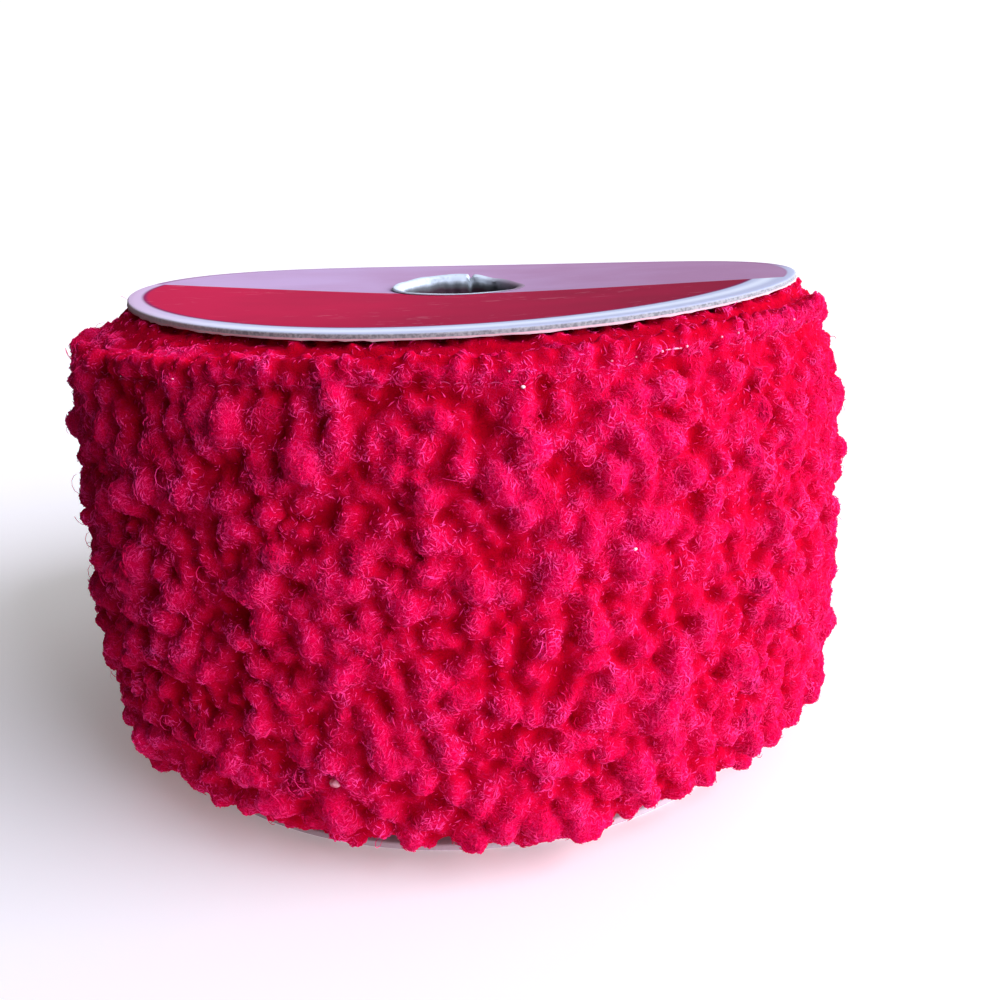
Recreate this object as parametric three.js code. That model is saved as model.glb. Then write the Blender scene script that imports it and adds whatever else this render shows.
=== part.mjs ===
// Sherpa wired ribbon, wound on a card spool that stands on one of its two discs.
// Millimetres, +Z up. The origin is on the axis of the core, in the plane that the spool stands on,
// and -Y is the front. An azimuth is an angle from the front in degrees, positive to the right.
import * as THREE from "three";

// Card spool
const DISC_RADIUS = 50.8;
const CARD_THICKNESS = 0.8;
const HOLE_RADIUS = 10.5;
const SPOOL_HEIGHT = 68.65;
const TOP_DISC_CENTRE = { x: 1.0, y: 0.1 };
const BOTTOM_DISC_CENTRE = { x: -0.9, y: 0 };

// The top card is a little warped: it tilts, bends like a saddle, and the core draws its middle down.
const TILT_RIGHT = THREE.MathUtils.degToRad(0.45);
const TILT_BACK = THREE.MathUtils.degToRad(-0.63);
const SADDLE_HEIGHT = 1.05;
const SADDLE_TURN = THREE.MathUtils.degToRad(13.4);
const DISH_DEPTH = 1.3;
const DISH_POWER = 1.5;

// Paper core, whose upper end is crimped and curls out over the card
const CORE_BORE_RADIUS = 9.1;
const CORE_RADIUS = 10.1;
const CORE_FOOT = 0.5;
const LIP_THICKNESS = 0.6;

// Ribbon: 63.5 wide with its pile pressed between the cards
const GAP = 0.3;
const TURN_THICKNESS = 2.4;
const CUT_END_AZIMUTH = 218;
const TURN_CENTRE = { x: -0.5, y: -0.5 };
const HEM_WIDTH = 3.2;
const LEAN_FROM = 62;
const LEAN_TO = 68;
const RIM_CLEARANCE = 0.6;
const NUB_RELIEF = 2.4;
const NUB_WANDER = 1.1;

const DISC_COLUMNS = 72;
const CORE_COLUMNS = 40;
const ROLL_COLUMNS = 126;
const WALL_ROWS = 18;

// How far the tips of the pile reach from the axis, by height above the surface
const BARREL = [
  { height: 2, radius: 58.2 },
  { height: 8, radius: 59.4 },
  { height: 20, radius: 60.5 },
  { height: 30, radius: 60.4 },
  { height: 44, radius: 59.6 },
  { height: 56, radius: 59.3 },
  { height: 62, radius: 58.3 },
  { height: 66, radius: 56.4 },
  { height: 70, radius: 52.6 },
];

// The last turn, from where it leaves the cover of its own cut end to that end. It is wound askew:
// its hem climbs to the right, where the top of the wall leans in over the turn under it.
const LAST_TURN = [
  { azimuth: -142, hem: 62.6, reach: 57.0, foot: 4.0, under: 65.4, lean: 0 },
  { azimuth: -90, hem: 63.0, reach: 57.1, foot: 2.6, under: 66.8, lean: 0 },
  { azimuth: -66, hem: 64.3, reach: 57.0, foot: 3.4, under: 66.8, lean: 0 },
  { azimuth: -44, hem: 65.7, reach: 56.9, foot: 5.6, under: 66.6, lean: 0 },
  { azimuth: -20, hem: 67.1, reach: 56.6, foot: 5.2, under: 66.3, lean: 0 },
  { azimuth: 8, hem: 67.5, reach: 56.4, foot: 5.0, under: 66.3, lean: 0 },
  { azimuth: 28, hem: 68.6, reach: 55.8, foot: 6.4, under: 66.8, lean: 0.4 },
  { azimuth: 50, hem: 68.8, reach: 55.0, foot: 4.9, under: 67.4, lean: 1.2 },
  { azimuth: 90, hem: 67.9, reach: 54.2, foot: 2.8, under: 67.4, lean: 1.8 },
  { azimuth: 130, hem: 66.3, reach: 55.2, foot: 4.2, under: 66.0, lean: 1.0 },
  { azimuth: 175, hem: 65.4, reach: 55.8, foot: 4.4, under: 65.4, lean: 0 },
  { azimuth: 218, hem: 65.3, reach: 56.0, foot: 4.6, under: 65.4, lean: 0 },
];

// Locks of pile that hang from the lower edge
const LOCKS = [
  { azimuth: -53, drop: 1.2, width: 4.5 },
  { azimuth: -27, drop: 0.9, width: 4.5 },
  { azimuth: 0, drop: 2.2, width: 3.2 },
  { azimuth: 12.5, drop: 1.3, width: 5.5 },
  { azimuth: 26, drop: 0.9, width: 4 },
  { azimuth: 42, drop: 1.2, width: 5 },
];

// The lip of the core, by azimuth: how high it stands over the card and how far out it curls
const LIP = [
  { azimuth: -180, height: 1.5, curl: 0.7 },
  { azimuth: -150, height: 1.3, curl: 0.6 },
  { azimuth: -120, height: 0.8, curl: 0.35 },
  { azimuth: -90, height: 0.5, curl: 0.2 },
  { azimuth: -45, height: 0.15, curl: 0 },
  { azimuth: 0, height: 0.1, curl: 0 },
  { azimuth: 60, height: 0.1, curl: 0 },
  { azimuth: 105, height: 0.2, curl: 0.3 },
  { azimuth: 140, height: 0.7, curl: 0.35 },
  { azimuth: 165, height: 1.4, curl: 0.7 },
  { azimuth: 180, height: 1.5, curl: 0.7 },
];

const { lerp, smoothstep, degToRad } = THREE.MathUtils;

/** The value in a column of a table at a place between its rows, joined smoothly. */
function between(table, key, at, column) {
  const next = Math.max(1, table.findIndex((row) => row[key] >= at));
  const above = table[at >= table.at(-1)[key] ? table.length - 1 : next];
  const below = table[table.indexOf(above) - 1];
  return lerp(below[column], above[column], smoothstep(at, below[key], above[key]));
}

/** A number from 0 to 1 that looks random, and is always the same for the same place. */
function chance(i, j, k) {
  const value = Math.sin(i * 127.1 + j * 311.7 + k * 74.7) * 43758.5453;
  return value - Math.floor(value);
}

/** A point at a radius and an azimuth about a centre. */
function around(centre, radius, azimuth, z) {
  const angle = degToRad(azimuth - 90);
  return [centre.x + radius * Math.cos(angle), centre.y + radius * Math.sin(angle), z];
}

const AXIS = { x: 0, y: 0 };

/** Evenly spaced azimuths, once round. */
function azimuths(count, first = -180) {
  return Array.from({ length: count }, (_, i) => first + (360 * i) / count);
}

/** A closed ring round the core. section(azimuth) lists its outline: up outside, and down inside. */
function ring(name, material, columns, section) {
  const outlines = columns.map(section);
  const profile = [...outlines[0], outlines[0][0]];
  const geometry = new THREE.LatheGeometry(
    profile.map(([x, y, z]) => new THREE.Vector2(Math.hypot(x, y), z)),
    columns.length,
  );
  const place = geometry.attributes.position;
  for (let i = 0; i <= columns.length; i++) {
    const outline = outlines[i % columns.length];
    profile.forEach((_, k) => place.setXYZ(i * profile.length + k, ...outline[k % outline.length]));
  }
  geometry.computeVertexNormals();
  const mesh = new THREE.Mesh(geometry, material);
  mesh.name = name;
  return mesh;
}

/** The height of the top card's printed face at x, y. */
function cardTop(x, y) {
  const right = x - TOP_DISC_CENTRE.x;
  const back = y - TOP_DISC_CENTRE.y;
  const out = Math.hypot(right, back) / DISC_RADIUS;
  const saddle = SADDLE_HEIGHT * Math.cos(2 * (Math.atan2(back, right) + SADDLE_TURN)) * out ** 2;
  const dish = DISH_DEPTH * Math.max(0, 1 - out) ** DISH_POWER;
  return SPOOL_HEIGHT + right * Math.tan(TILT_RIGHT) + back * Math.tan(TILT_BACK) + saddle - dish;
}

/** Where the top card and the roll under it are measured, from the hole at 0 to the rim at 1. */
const CARD_STEPS = [0, 0.15, 0.4, 0.7, 1];

/** A point of a card at a share of the way from its hole to its rim. */
function cardPoint(centre, hole, share, azimuth) {
  const [x0, y0] = around(AXIS, hole, azimuth, 0);
  const [x1, y1] = around(centre, DISC_RADIUS, azimuth, 0);
  return [lerp(x0, x1, share), lerp(y0, y1, share)];
}

function topCardSection(azimuth) {
  const face = CARD_STEPS.map((share) => {
    const [x, y] = cardPoint(TOP_DISC_CENTRE, HOLE_RADIUS, share, azimuth);
    return [x, y, cardTop(x, y)];
  });
  const underside = face.map(([x, y, z]) => [x, y, z - CARD_THICKNESS]);
  return [...underside, ...face.reverse()];
}

function bottomCardSection(azimuth) {
  const hole = around(AXIS, HOLE_RADIUS, azimuth, 0);
  const rim = around(BOTTOM_DISC_CENTRE, DISC_RADIUS, azimuth, 0);
  const raised = ([x, y]) => [x, y, CARD_THICKNESS];
  return [hole, rim, raised(rim), raised(hole)];
}

/** The tube stands in both holes. Its lip lies on the card where it curls out. */
function coreSection(azimuth) {
  const [x, y] = around(AXIS, HOLE_RADIUS, azimuth, 0);
  const card = cardTop(x, y);
  const curl = between(LIP, "azimuth", azimuth, "curl");
  const crest = card + between(LIP, "azimuth", azimuth, "height");
  const seat = card + GAP;
  const neck = Math.min(seat, crest - LIP_THICKNESS);
  const edge = CORE_RADIUS + Math.max(curl, 0.05);
  const shoulder = (CORE_BORE_RADIUS + CORE_RADIUS) / 2;
  return [
    around(AXIS, CORE_RADIUS, azimuth, CORE_FOOT),
    around(AXIS, CORE_RADIUS, azimuth, neck),
    around(AXIS, edge, azimuth, neck),
    around(AXIS, edge, azimuth, lerp(neck, crest, 0.5)),
    around(AXIS, lerp(CORE_RADIUS, edge, 0.45), azimuth, crest),
    around(AXIS, shoulder, azimuth, crest - 0.1),
    around(AXIS, CORE_BORE_RADIUS, azimuth, crest - 2 * LIP_THICKNESS),
    around(AXIS, CORE_BORE_RADIUS, azimuth, CORE_FOOT),
  ];
}

/** How proud the pile is where a column and a row of the wall cross: staggered nubs and creases. */
function pile(column, row) {
  const luck = chance(column, row, 1);
  if (row % 2) return 0.3 * luck;
  return (column + row / 2) % 2 ? 0.3 + 0.25 * luck : 0.7 + 0.3 * luck;
}

/** How far the locks hang below the lower edge at an azimuth. */
function hanging(azimuth) {
  const drops = LOCKS.map((lock) => {
    const away = degToRad(azimuth - lock.azimuth) * BARREL[0].radius;
    return lock.drop * Math.max(0, 1 - (away / (lock.width / 2)) ** 2);
  });
  return Math.max(0, ...drops);
}

/** The wound ribbon, cut at an azimuth, counted on from -142 to the cut end at 218. */
function rollSection(azimuth, column) {
  const start = CUT_END_AZIMUTH - 360;
  const turned = (azimuth - start) / 360 - 0.5;
  const hem = between(LAST_TURN, "azimuth", azimuth, "hem");
  const reach = between(LAST_TURN, "azimuth", azimuth, "reach");
  const foot = between(LAST_TURN, "azimuth", azimuth, "foot") - hanging(azimuth);
  const under = between(LAST_TURN, "azimuth", azimuth, "under");
  const lean = between(LAST_TURN, "azimuth", azimuth, "lean");
  const tip = (z) => {
    const upright = between(BARREL, "height", z, "radius") + TURN_THICKNESS * turned;
    return upright - lean * smoothstep(z, LEAN_FROM, LEAN_TO);
  };
  const onStep = Math.min(azimuth - start, CUT_END_AZIMUTH - azimuth) < 360 / ROLL_COLUMNS;
  const low = foot + 1.6;
  const high = hem - HEM_WIDTH - 0.4;
  const outside = Array.from({ length: WALL_ROWS }, (_, i) => {
    const z = lerp(low, high, i / (WALL_ROWS - 1)) + NUB_WANDER * (chance(column, i, 2) - 0.5);
    const aside = (NUB_WANDER * (chance(column, i, 3) - 0.5)) / degToRad(BARREL[0].radius);
    const sunk = NUB_RELIEF * (1 - pile(column, i));
    return around(TURN_CENTRE, tip(z) - sunk, azimuth + (onStep ? 0 : aside), z);
  });
  const crest = reach + TURN_THICKNESS * turned * 0.5;
  const wave = 0.9 * (chance(column, WALL_ROWS, 1) - 0.5);
  const hemFold = [
    around(TURN_CENTRE, Math.max(crest + 0.1, tip(hem - HEM_WIDTH) - 1.9), azimuth, hem - HEM_WIDTH),
    around(TURN_CENTRE, crest + 0.9 - 0.3 * lean, azimuth, hem - HEM_WIDTH / 2 + wave),
    around(TURN_CENTRE, crest - 0.2, azimuth, hem - 0.3 + wave),
    around(TURN_CENTRE, crest - 1.2, azimuth, hem - 0.2 + wave),
  ];

  const beside = DISC_RADIUS + RIM_CLEARANCE;
  const valley = crest - 2.3;
  const turnUnder = [
    around(TURN_CENTRE, valley, azimuth, Math.min(hem, under) - 1.2),
    around(TOP_DISC_CENTRE, lerp(beside, valley, 0.75), azimuth, under - 1.2),
    around(TOP_DISC_CENTRE, lerp(beside, valley, 0.3), azimuth, under + 0.4 * wave),
  ];
  const coreSide = CORE_RADIUS + GAP;
  const underCard = CARD_STEPS.map((share) => {
    const [x, y] = cardPoint(TOP_DISC_CENTRE, coreSide, share, azimuth);
    return [x, y, cardTop(x, y) - CARD_THICKNESS - GAP];
  });
  const [, , rimHeight] = underCard.at(-1);
  const base = CARD_THICKNESS + GAP;
  const rootUnder = [
    around(BOTTOM_DISC_CENTRE, DISC_RADIUS, azimuth, base),
    around(BOTTOM_DISC_CENTRE, beside, azimuth, base + 0.2),
    around(TURN_CENTRE, crest - 2.2, azimuth, lerp(base, foot, 0.7)),
    around(TURN_CENTRE, tip(foot) - 2.4, azimuth, foot),
  ];
  return [
    ...outside,
    ...hemFold,
    ...turnUnder,
    around(TOP_DISC_CENTRE, beside, azimuth, rimHeight),
    ...underCard.reverse(),
    around(AXIS, coreSide, azimuth, base),
    ...rootUnder,
  ];
}

const card = { roughness: 0.55, metalness: 0 };
const printedCard = new THREE.MeshStandardMaterial({ color: "#cfc0dc", ...card });
const plainCard = new THREE.MeshStandardMaterial({ color: "#d8d2da", ...card });
const corePaper = new THREE.MeshStandardMaterial({ color: "#dfe4f0", roughness: 0.6, metalness: 0 });
const sherpa = new THREE.MeshStandardMaterial({ color: "#c8083c", roughness: 0.95, metalness: 0 });

// One more column just short of the first makes the cut end of the ribbon a steep step.
const CUT_END_STEP = 0.5;
const rollColumns = [...azimuths(ROLL_COLUMNS, CUT_END_AZIMUTH - 360), CUT_END_AZIMUTH - CUT_END_STEP];

const spool = new THREE.Group();
spool.add(
  ring("flange_bottom", plainCard, azimuths(DISC_COLUMNS), bottomCardSection),
  ring("flange_top", printedCard, azimuths(DISC_COLUMNS), topCardSection),
  ring("core_tube", corePaper, azimuths(CORE_COLUMNS), coreSection),
  ring("ribbon_roll", sherpa, rollColumns, rollSection),
);

export default spool;
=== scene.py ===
# %% [markdown]
# # A sherpa wired ribbon on its card spool
# The thing on the table is a flat card spool, 4 inches across, with a few yards of nubby red ribbon on it.
# The CAD model already holds every piece at its real size: two card discs, a paper core and one solid for
# the wound ribbon. This lesson dresses that model, so each step starts from the frame and never moves it.
# Lengths are written in millimetres and multiplied by MM, because Blender works in metres here.

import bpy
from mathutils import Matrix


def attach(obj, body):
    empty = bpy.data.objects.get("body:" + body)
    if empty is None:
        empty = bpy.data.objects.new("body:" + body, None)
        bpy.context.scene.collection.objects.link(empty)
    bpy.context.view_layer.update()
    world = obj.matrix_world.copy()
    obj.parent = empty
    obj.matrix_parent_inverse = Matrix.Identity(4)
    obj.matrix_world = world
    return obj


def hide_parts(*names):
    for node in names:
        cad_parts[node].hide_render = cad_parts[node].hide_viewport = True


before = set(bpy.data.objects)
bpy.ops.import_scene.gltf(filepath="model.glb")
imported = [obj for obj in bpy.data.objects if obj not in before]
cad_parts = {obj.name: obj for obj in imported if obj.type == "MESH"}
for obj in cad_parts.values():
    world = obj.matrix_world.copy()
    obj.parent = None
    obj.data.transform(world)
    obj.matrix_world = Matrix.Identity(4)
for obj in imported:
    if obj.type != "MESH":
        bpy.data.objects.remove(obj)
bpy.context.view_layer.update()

import math
import random

import bmesh
import bpy
import numpy as np
from mathutils import Matrix, Vector, noise
from mathutils.bvhtree import BVHTree

MM = 0.001
scene = bpy.context.scene

# %% [markdown]
# ## Camera
# A camera is easiest to match from things whose size is known. The two discs gave its place: it stands
# 162 mm in front of the core and 84 mm up, looks down by 18 degrees and leans by 1.5 degrees. We build its
# axes by hand as three vectors, which avoids having to think about the order of Euler turns.

# %% Place the camera
CAMERA_PLACE = Vector((-0.88, -162.5, 84.3)) * MM
CAMERA_YAW = math.radians(2.36)
CAMERA_PITCH = math.radians(17.84)
CAMERA_ROLL = math.radians(-1.47)
CAMERA_LENS = 36
CAMERA_SENSOR = 36


def make_camera():
    """A lens as long as the sensor is wide, aimed by its yaw, pitch and roll."""
    ahead = Vector((
        math.sin(CAMERA_YAW) * math.cos(CAMERA_PITCH),
        math.cos(CAMERA_YAW) * math.cos(CAMERA_PITCH),
        -math.sin(CAMERA_PITCH),
    ))
    level = Vector((math.cos(CAMERA_YAW), -math.sin(CAMERA_YAW), 0))
    upright = level.cross(ahead)
    right = level * math.cos(CAMERA_ROLL) + upright * math.sin(CAMERA_ROLL)
    up = upright * math.cos(CAMERA_ROLL) - level * math.sin(CAMERA_ROLL)
    data = bpy.data.cameras.new("camera")
    data.lens = CAMERA_LENS
    data.sensor_width = CAMERA_SENSOR
    data.clip_start = 5 * MM
    camera = bpy.data.objects.new("camera", data)
    turn = Matrix((right, up, -ahead)).transposed().to_4x4()
    camera.matrix_world = Matrix.Translation(CAMERA_PLACE) @ turn
    scene.collection.objects.link(camera)
    return camera


scene.camera = make_camera()
print("camera at", [round(v * 1000, 1) for v in CAMERA_PLACE], "mm")

# %% [markdown]
# ## Add a node
# Materials and Geometry Nodes are both trees of nodes. Two helpers keep their recipes short: one fills the
# sockets of a node, where a value that is itself a socket becomes a link, and one adds a node and fills it.

# %% Fill and add
def fill(tree, node, **sockets):
    """Fill a node's input sockets, by name or by number as _0. A value is set and a socket is linked."""
    for key, value in sockets.items():
        socket = node.inputs[int(key[1:])] if key[1:].isdigit() else node.inputs[key.replace("_", " ")]
        if isinstance(value, bpy.types.NodeSocket):
            tree.links.new(value, socket)
        else:
            socket.default_value = value
    return node


def add(tree, kind, settings=None, **sockets):
    """A new node of a kind, with its settings and its input sockets filled."""
    node = tree.nodes.new(kind)
    for key, value in (settings or {}).items():
        setattr(node, key, value)
    return fill(tree, node, **sockets)


print("nodes can be added")

# %% [markdown]
# ## Nodes that come back
# A few nodes are needed again and again: a sum, a mix of colours, a straight or a soft step, a cloudy noise
# and a colour ramp. Each gets a short name of its own, so that a recipe can be read like a sentence.

# %% Short names for common nodes
def calc(tree, operation, *values, clamp=False):
    """The result of a math node on one, two or three values."""
    numbered = {f"_{i}": value for i, value in enumerate(values)}
    return add(tree, "ShaderNodeMath", {"operation": operation, "use_clamp": clamp}, **numbered).outputs[0]


def blend(tree, share, one, two):
    """A mix of two colours."""
    return add(tree, "ShaderNodeMix", {"data_type": "RGBA"}, Factor=share, _6=one, _7=two).outputs[2]


def between(tree, value, start, end):
    """0 at a start, 1 at an end, and a straight change between them."""
    return add(tree, "ShaderNodeMapRange", Value=value, From_Min=start, From_Max=end).outputs[0]


def step_at(tree, value, edge, soft):
    """0 below an edge and 1 above it, with a soft change."""
    return add(tree, "ShaderNodeMapRange", {"interpolation_type": "SMOOTHSTEP"}, Value=value,
               From_Min=edge - soft, From_Max=edge + soft).outputs[0]


def cloud(tree, place, scale, detail, twist=0.0):
    """A cloudy noise from 0 to 1. Geometry Nodes read it at each point, so there the place is None."""
    where = {} if place is None else {"Vector": place}
    field = add(tree, "ShaderNodeTexNoise", Scale=scale, Detail=detail, Distortion=twist, **where)
    return field.outputs["Fac"]


def ramp(tree, value, stops):
    """A colour ramp through a list of stops, each a position and a colour."""
    node = add(tree, "ShaderNodeValToRGB", Fac=value)
    marks = node.color_ramp.elements
    for i, (position, colour) in enumerate(stops):
        mark = marks[i] if i < 2 else marks.new(position)
        mark.position = position
        mark.color = colour
    return node.outputs[0]


def new_material(name):
    """A material, its tree, its shader, and the Object coordinates that the patterns here follow."""
    material = bpy.data.materials.new(name)
    material.use_nodes = True
    tree = material.node_tree
    return material, tree, tree.nodes["Principled BSDF"], add(tree, "ShaderNodeTexCoord").outputs["Object"]


print("node helpers:", [helper.__name__ for helper in (calc, blend, between, step_at, cloud, ramp)])

# %% [markdown]
# ## Grow a mesh with modifiers
# A Geometry Nodes tree starts with named inputs and ends by making its instances real, because the export
# drops instances. It is grown into a plain mesh at once, so a finished piece carries no modifier. A modifier
# takes a tree's input by the identifier of its socket, and it has to be set before the first evaluation.

# %% Trees and modifiers
def shape_tree(name, **numbers):
    """A Geometry Nodes tree with a geometry going in and out, and a named input for each number."""
    tree = bpy.data.node_groups.new(name, "GeometryNodeTree")
    tree.interface.new_socket("Geometry", in_out="INPUT", socket_type="NodeSocketGeometry")
    for label, value in numbers.items():
        kind = "NodeSocketInt" if isinstance(value, int) else "NodeSocketFloat"
        tree.interface.new_socket(label, in_out="INPUT", socket_type=kind).default_value = value
    tree.interface.new_socket("Geometry", in_out="OUTPUT", socket_type="NodeSocketGeometry")
    return tree, tree.nodes.new("NodeGroupInput").outputs


def end_tree(tree, geometry, material):
    """Every tree ends the same way: instances made real, then the material."""
    real = add(tree, "GeometryNodeRealizeInstances", Geometry=geometry).outputs[0]
    coat = add(tree, "GeometryNodeSetMaterial", Geometry=real, Material=material).outputs[0]
    add(tree, "NodeGroupOutput", _0=coat)


def grown(name, source, steps, group=()):
    """The plain mesh that a stack of modifiers makes from a mesh. A step is a tree with its inputs, or the
    kind of a modifier with its settings, which may name the vertex group of the given points."""
    carrier = bpy.data.objects.new(name, source)
    scene.collection.objects.link(carrier)
    if group:
        carrier.vertex_groups.new(name="under").add(group, 1.0, "REPLACE")
    for what, values in steps:
        if isinstance(what, str):
            modifier = carrier.modifiers.new(what, what)
            for key, value in values.items():
                setattr(modifier, key, value)
            continue
        modifier = carrier.modifiers.new(what.name, "NODES")
        modifier.node_group = what
        sockets = {s.name: s.identifier for s in what.interface.items_tree if s.in_out == "INPUT"}
        for key, value in values.items():
            modifier[sockets[key]] = value
    graph = bpy.context.evaluated_depsgraph_get()
    mesh = bpy.data.meshes.new_from_object(carrier.evaluated_get(graph), depsgraph=graph)
    bpy.data.objects.remove(carrier)
    return mesh


print("modifiers can be applied")

# %% [markdown]
# ## Meshes by hand
# Meshes that are built point by point start as a bmesh, which is Blender's editable form of a mesh. A closed
# shape gets its faces turned outwards at the end. Every piece keeps its object at the origin, with its place
# in its mesh, so that patterns on Object coordinates stay where they are.

# %% Meshes and pieces
def mesh_of(form, name, outwards=False):
    """A mesh from a bmesh, if asked with all its faces turned outwards. The bmesh is freed."""
    if outwards:
        bmesh.ops.recalc_face_normals(form, faces=form.faces)
    mesh = bpy.data.meshes.new(name)
    form.to_mesh(mesh)
    form.free()
    return mesh


def new_piece(name, mesh, material=None, smooth=True):
    """An object at the origin for a mesh, with smooth or flat faces."""
    piece = bpy.data.objects.new(name, mesh)
    scene.collection.objects.link(piece)
    if material and not mesh.materials:
        mesh.materials.append(material)
    if smooth:
        mesh.shade_smooth()
    else:
        mesh.shade_flat()
    return piece


print("pieces can be made")

# %% [markdown]
# ## Light
# The ribbon is bright on its right and deep red on its left, and nothing stands around it. A sky that is
# bright on the right, dim on the left and white behind the spool gives that, like a window on one side of a
# pale room. One wide soft sun adds a little direction. The Standard view keeps the dye's strong red, which a
# filmic view would wash out.

# %% Light the set
SUN_FROM = Vector((0.88, -0.46, 0.42))
SUN_WIDTH = math.radians(60)
SUN_STRENGTH = 4.4
SUN_COLOUR = (1.0, 0.98, 1.18)
SKY_COLOUR = (1.0, 0.985, 1.0, 1)
SIDE_TO_SIDE = [(-1.0, 0.0), (-0.4, 0.01), (0.0, 0.15), (0.4, 0.85), (1.0, 1.6)]
SKY_BEHIND = 1.05


def make_sky(tree):
    """Strength by direction: a ramp from the left to the right, and a low white band behind the spool. A ramp
    ends at 1, so it holds half of each strength."""
    way = add(tree, "ShaderNodeTexCoord").outputs["Generated"]
    right, back, up = add(tree, "ShaderNodeSeparateXYZ", _0=way).outputs
    stops = [((x + 1) / 2, (value / 2, value / 2, value / 2, 1)) for x, value in SIDE_TO_SIDE]
    side = calc(tree, "MULTIPLY", ramp(tree, between(tree, right, -1.0, 1.0), stops), 2.0)
    band = calc(tree, "MULTIPLY", between(tree, back, 0.6, 0.76), between(tree, up, 0.36, 0.26))
    return calc(tree, "MAXIMUM", side, calc(tree, "MULTIPLY", band, SKY_BEHIND))


def make_world():
    """The sky, seen through the Standard view."""
    world = bpy.data.worlds.new("sky")
    world.use_nodes = True
    tree = world.node_tree
    fill(tree, tree.nodes["Background"], Color=SKY_COLOUR, Strength=make_sky(tree))
    scene.world = world
    scene.view_settings.view_transform = "Standard"


def make_sun():
    """One wide soft sun."""
    data = bpy.data.lights.new("sun", "SUN")
    data.energy = SUN_STRENGTH
    data.angle = SUN_WIDTH
    data.color = SUN_COLOUR
    sun = bpy.data.objects.new("sun", data)
    sun.rotation_euler = SUN_FROM.to_track_quat("Z", "Y").to_euler()
    scene.collection.objects.link(sun)


make_world()
make_sun()

# %% [markdown]
# ## Paper on a table
# The spool stands on white paper that glows faintly, like a light table, so the shadow on it stays thin. The
# paper ends just left of the picture, and the table beyond it is grey, so little light comes back from that
# side. Both are one wide plate whose material changes along a line.

# %% Lay the paper
PAPER_WHITE = (0.92, 0.92, 0.93, 1)
PAPER_GLOW = 0.2
TABLE_GREY = (0.12, 0.12, 0.13, 1)
PAPER_EDGE = -79.5 * MM
PAPER_TURN = math.radians(22.95)
TABLE = 20


def make_table():
    """A sheet of white paper on a grey table, as one wide plate."""
    plate = bpy.data.meshes.new("floor")
    corners = [(-TABLE, -TABLE, 0), (TABLE, -TABLE, 0), (TABLE, TABLE, 0), (-TABLE, TABLE, 0)]
    plate.from_pydata(corners, [], [(0, 1, 2, 3)])
    material, tree, shader, place = new_material("pale_floor")
    across = (math.cos(PAPER_TURN), math.sin(PAPER_TURN), 0)
    side = add(tree, "ShaderNodeVectorMath", {"operation": "DOT_PRODUCT"}, _0=place, _1=across)
    on_paper = between(tree, side.outputs["Value"], PAPER_EDGE - MM, PAPER_EDGE)
    colour = blend(tree, on_paper, TABLE_GREY, PAPER_WHITE)
    glow = calc(tree, "MULTIPLY", on_paper, PAPER_GLOW)
    fill(tree, shader, Base_Color=colour, Emission_Color=colour, Emission_Strength=glow, Roughness=0.9)
    plate.materials.append(material)
    ground = bpy.data.objects.new("floor", plate)
    scene.collection.objects.link(ground)


make_table()
print("paper edge", round(-PAPER_EDGE / MM, 1), "mm left of the core")

# %% [markdown]
# ## Dyed pile
# Sherpa is a looped pile that has been brushed and tumbled until it felts into nubs. Three things make it
# read as wool and not as plastic: it has no gloss but a soft sheen, the creases are painted darker and the
# tips lighter as painted shade and light, and the surface is a tangle of fine fibres. The tree mixes the
# colour, with that painted shade, by how far a point stands out of the cloth, which the mesh carries as an
# attribute, and draws thin curly lines where a noise crosses its middle value. Those same lines drive a bump.

# %% Pile material
# Painted shade: the creases get a darker red and the tips a lighter one.
CREASE_SHADE_RED = (0.5, 0.0002, 0.015, 1)
PILE_RED = (0.57, 0.0004, 0.028, 1)
TIP_LIT_RED = (0.62, 0.0006, 0.05, 1)
FIBRE_PINK = (1.0, 0.03, 0.24, 1)
FIBRE_DEEP = (0.78, 0.004, 0.08, 1)
FIBRE_BRIGHT = (1.0, 0.055, 0.31, 1)


def bump(tree, height, strength, depth):
    """A bump as deep as a depth in mm."""
    return add(tree, "ShaderNodeBump", Strength=strength, Distance=depth * MM, Height=height).outputs[0]


def stored(tree, name):
    """A value that each point of the mesh carries, in a material or in Geometry Nodes."""
    if tree.type == "SHADER":
        return add(tree, "ShaderNodeAttribute", {"attribute_name": name}).outputs["Fac"]
    return add(tree, "GeometryNodeInputNamedAttribute", {"data_type": "FLOAT"}, Name=name).outputs[0]


def noise_line(tree, place, scale, twist, width):
    """Thin curly lines: 1 where a noise is close to its middle value, and 0 elsewhere."""
    off = calc(tree, "SUBTRACT", cloud(tree, place, scale, 1.0, twist), 0.5)
    near = calc(tree, "ABSOLUTE", off)
    return add(tree, "ShaderNodeMapRange", Value=near, From_Min=0.0, From_Max=width,
               To_Min=1.0, To_Max=0.0).outputs[0]


def wool(name, roughness, sheen, tint):
    """A new material with the common settings of wool: no gloss, and a sheen that takes the dye's colour."""
    material, tree, shader, place = new_material(name)
    fill(tree, shader, Roughness=roughness, Specular_IOR_Level=0.012, Sheen_Weight=sheen,
         Sheen_Roughness=0.45, Sheen_Tint=tint)
    return material, tree, shader, place


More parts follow.
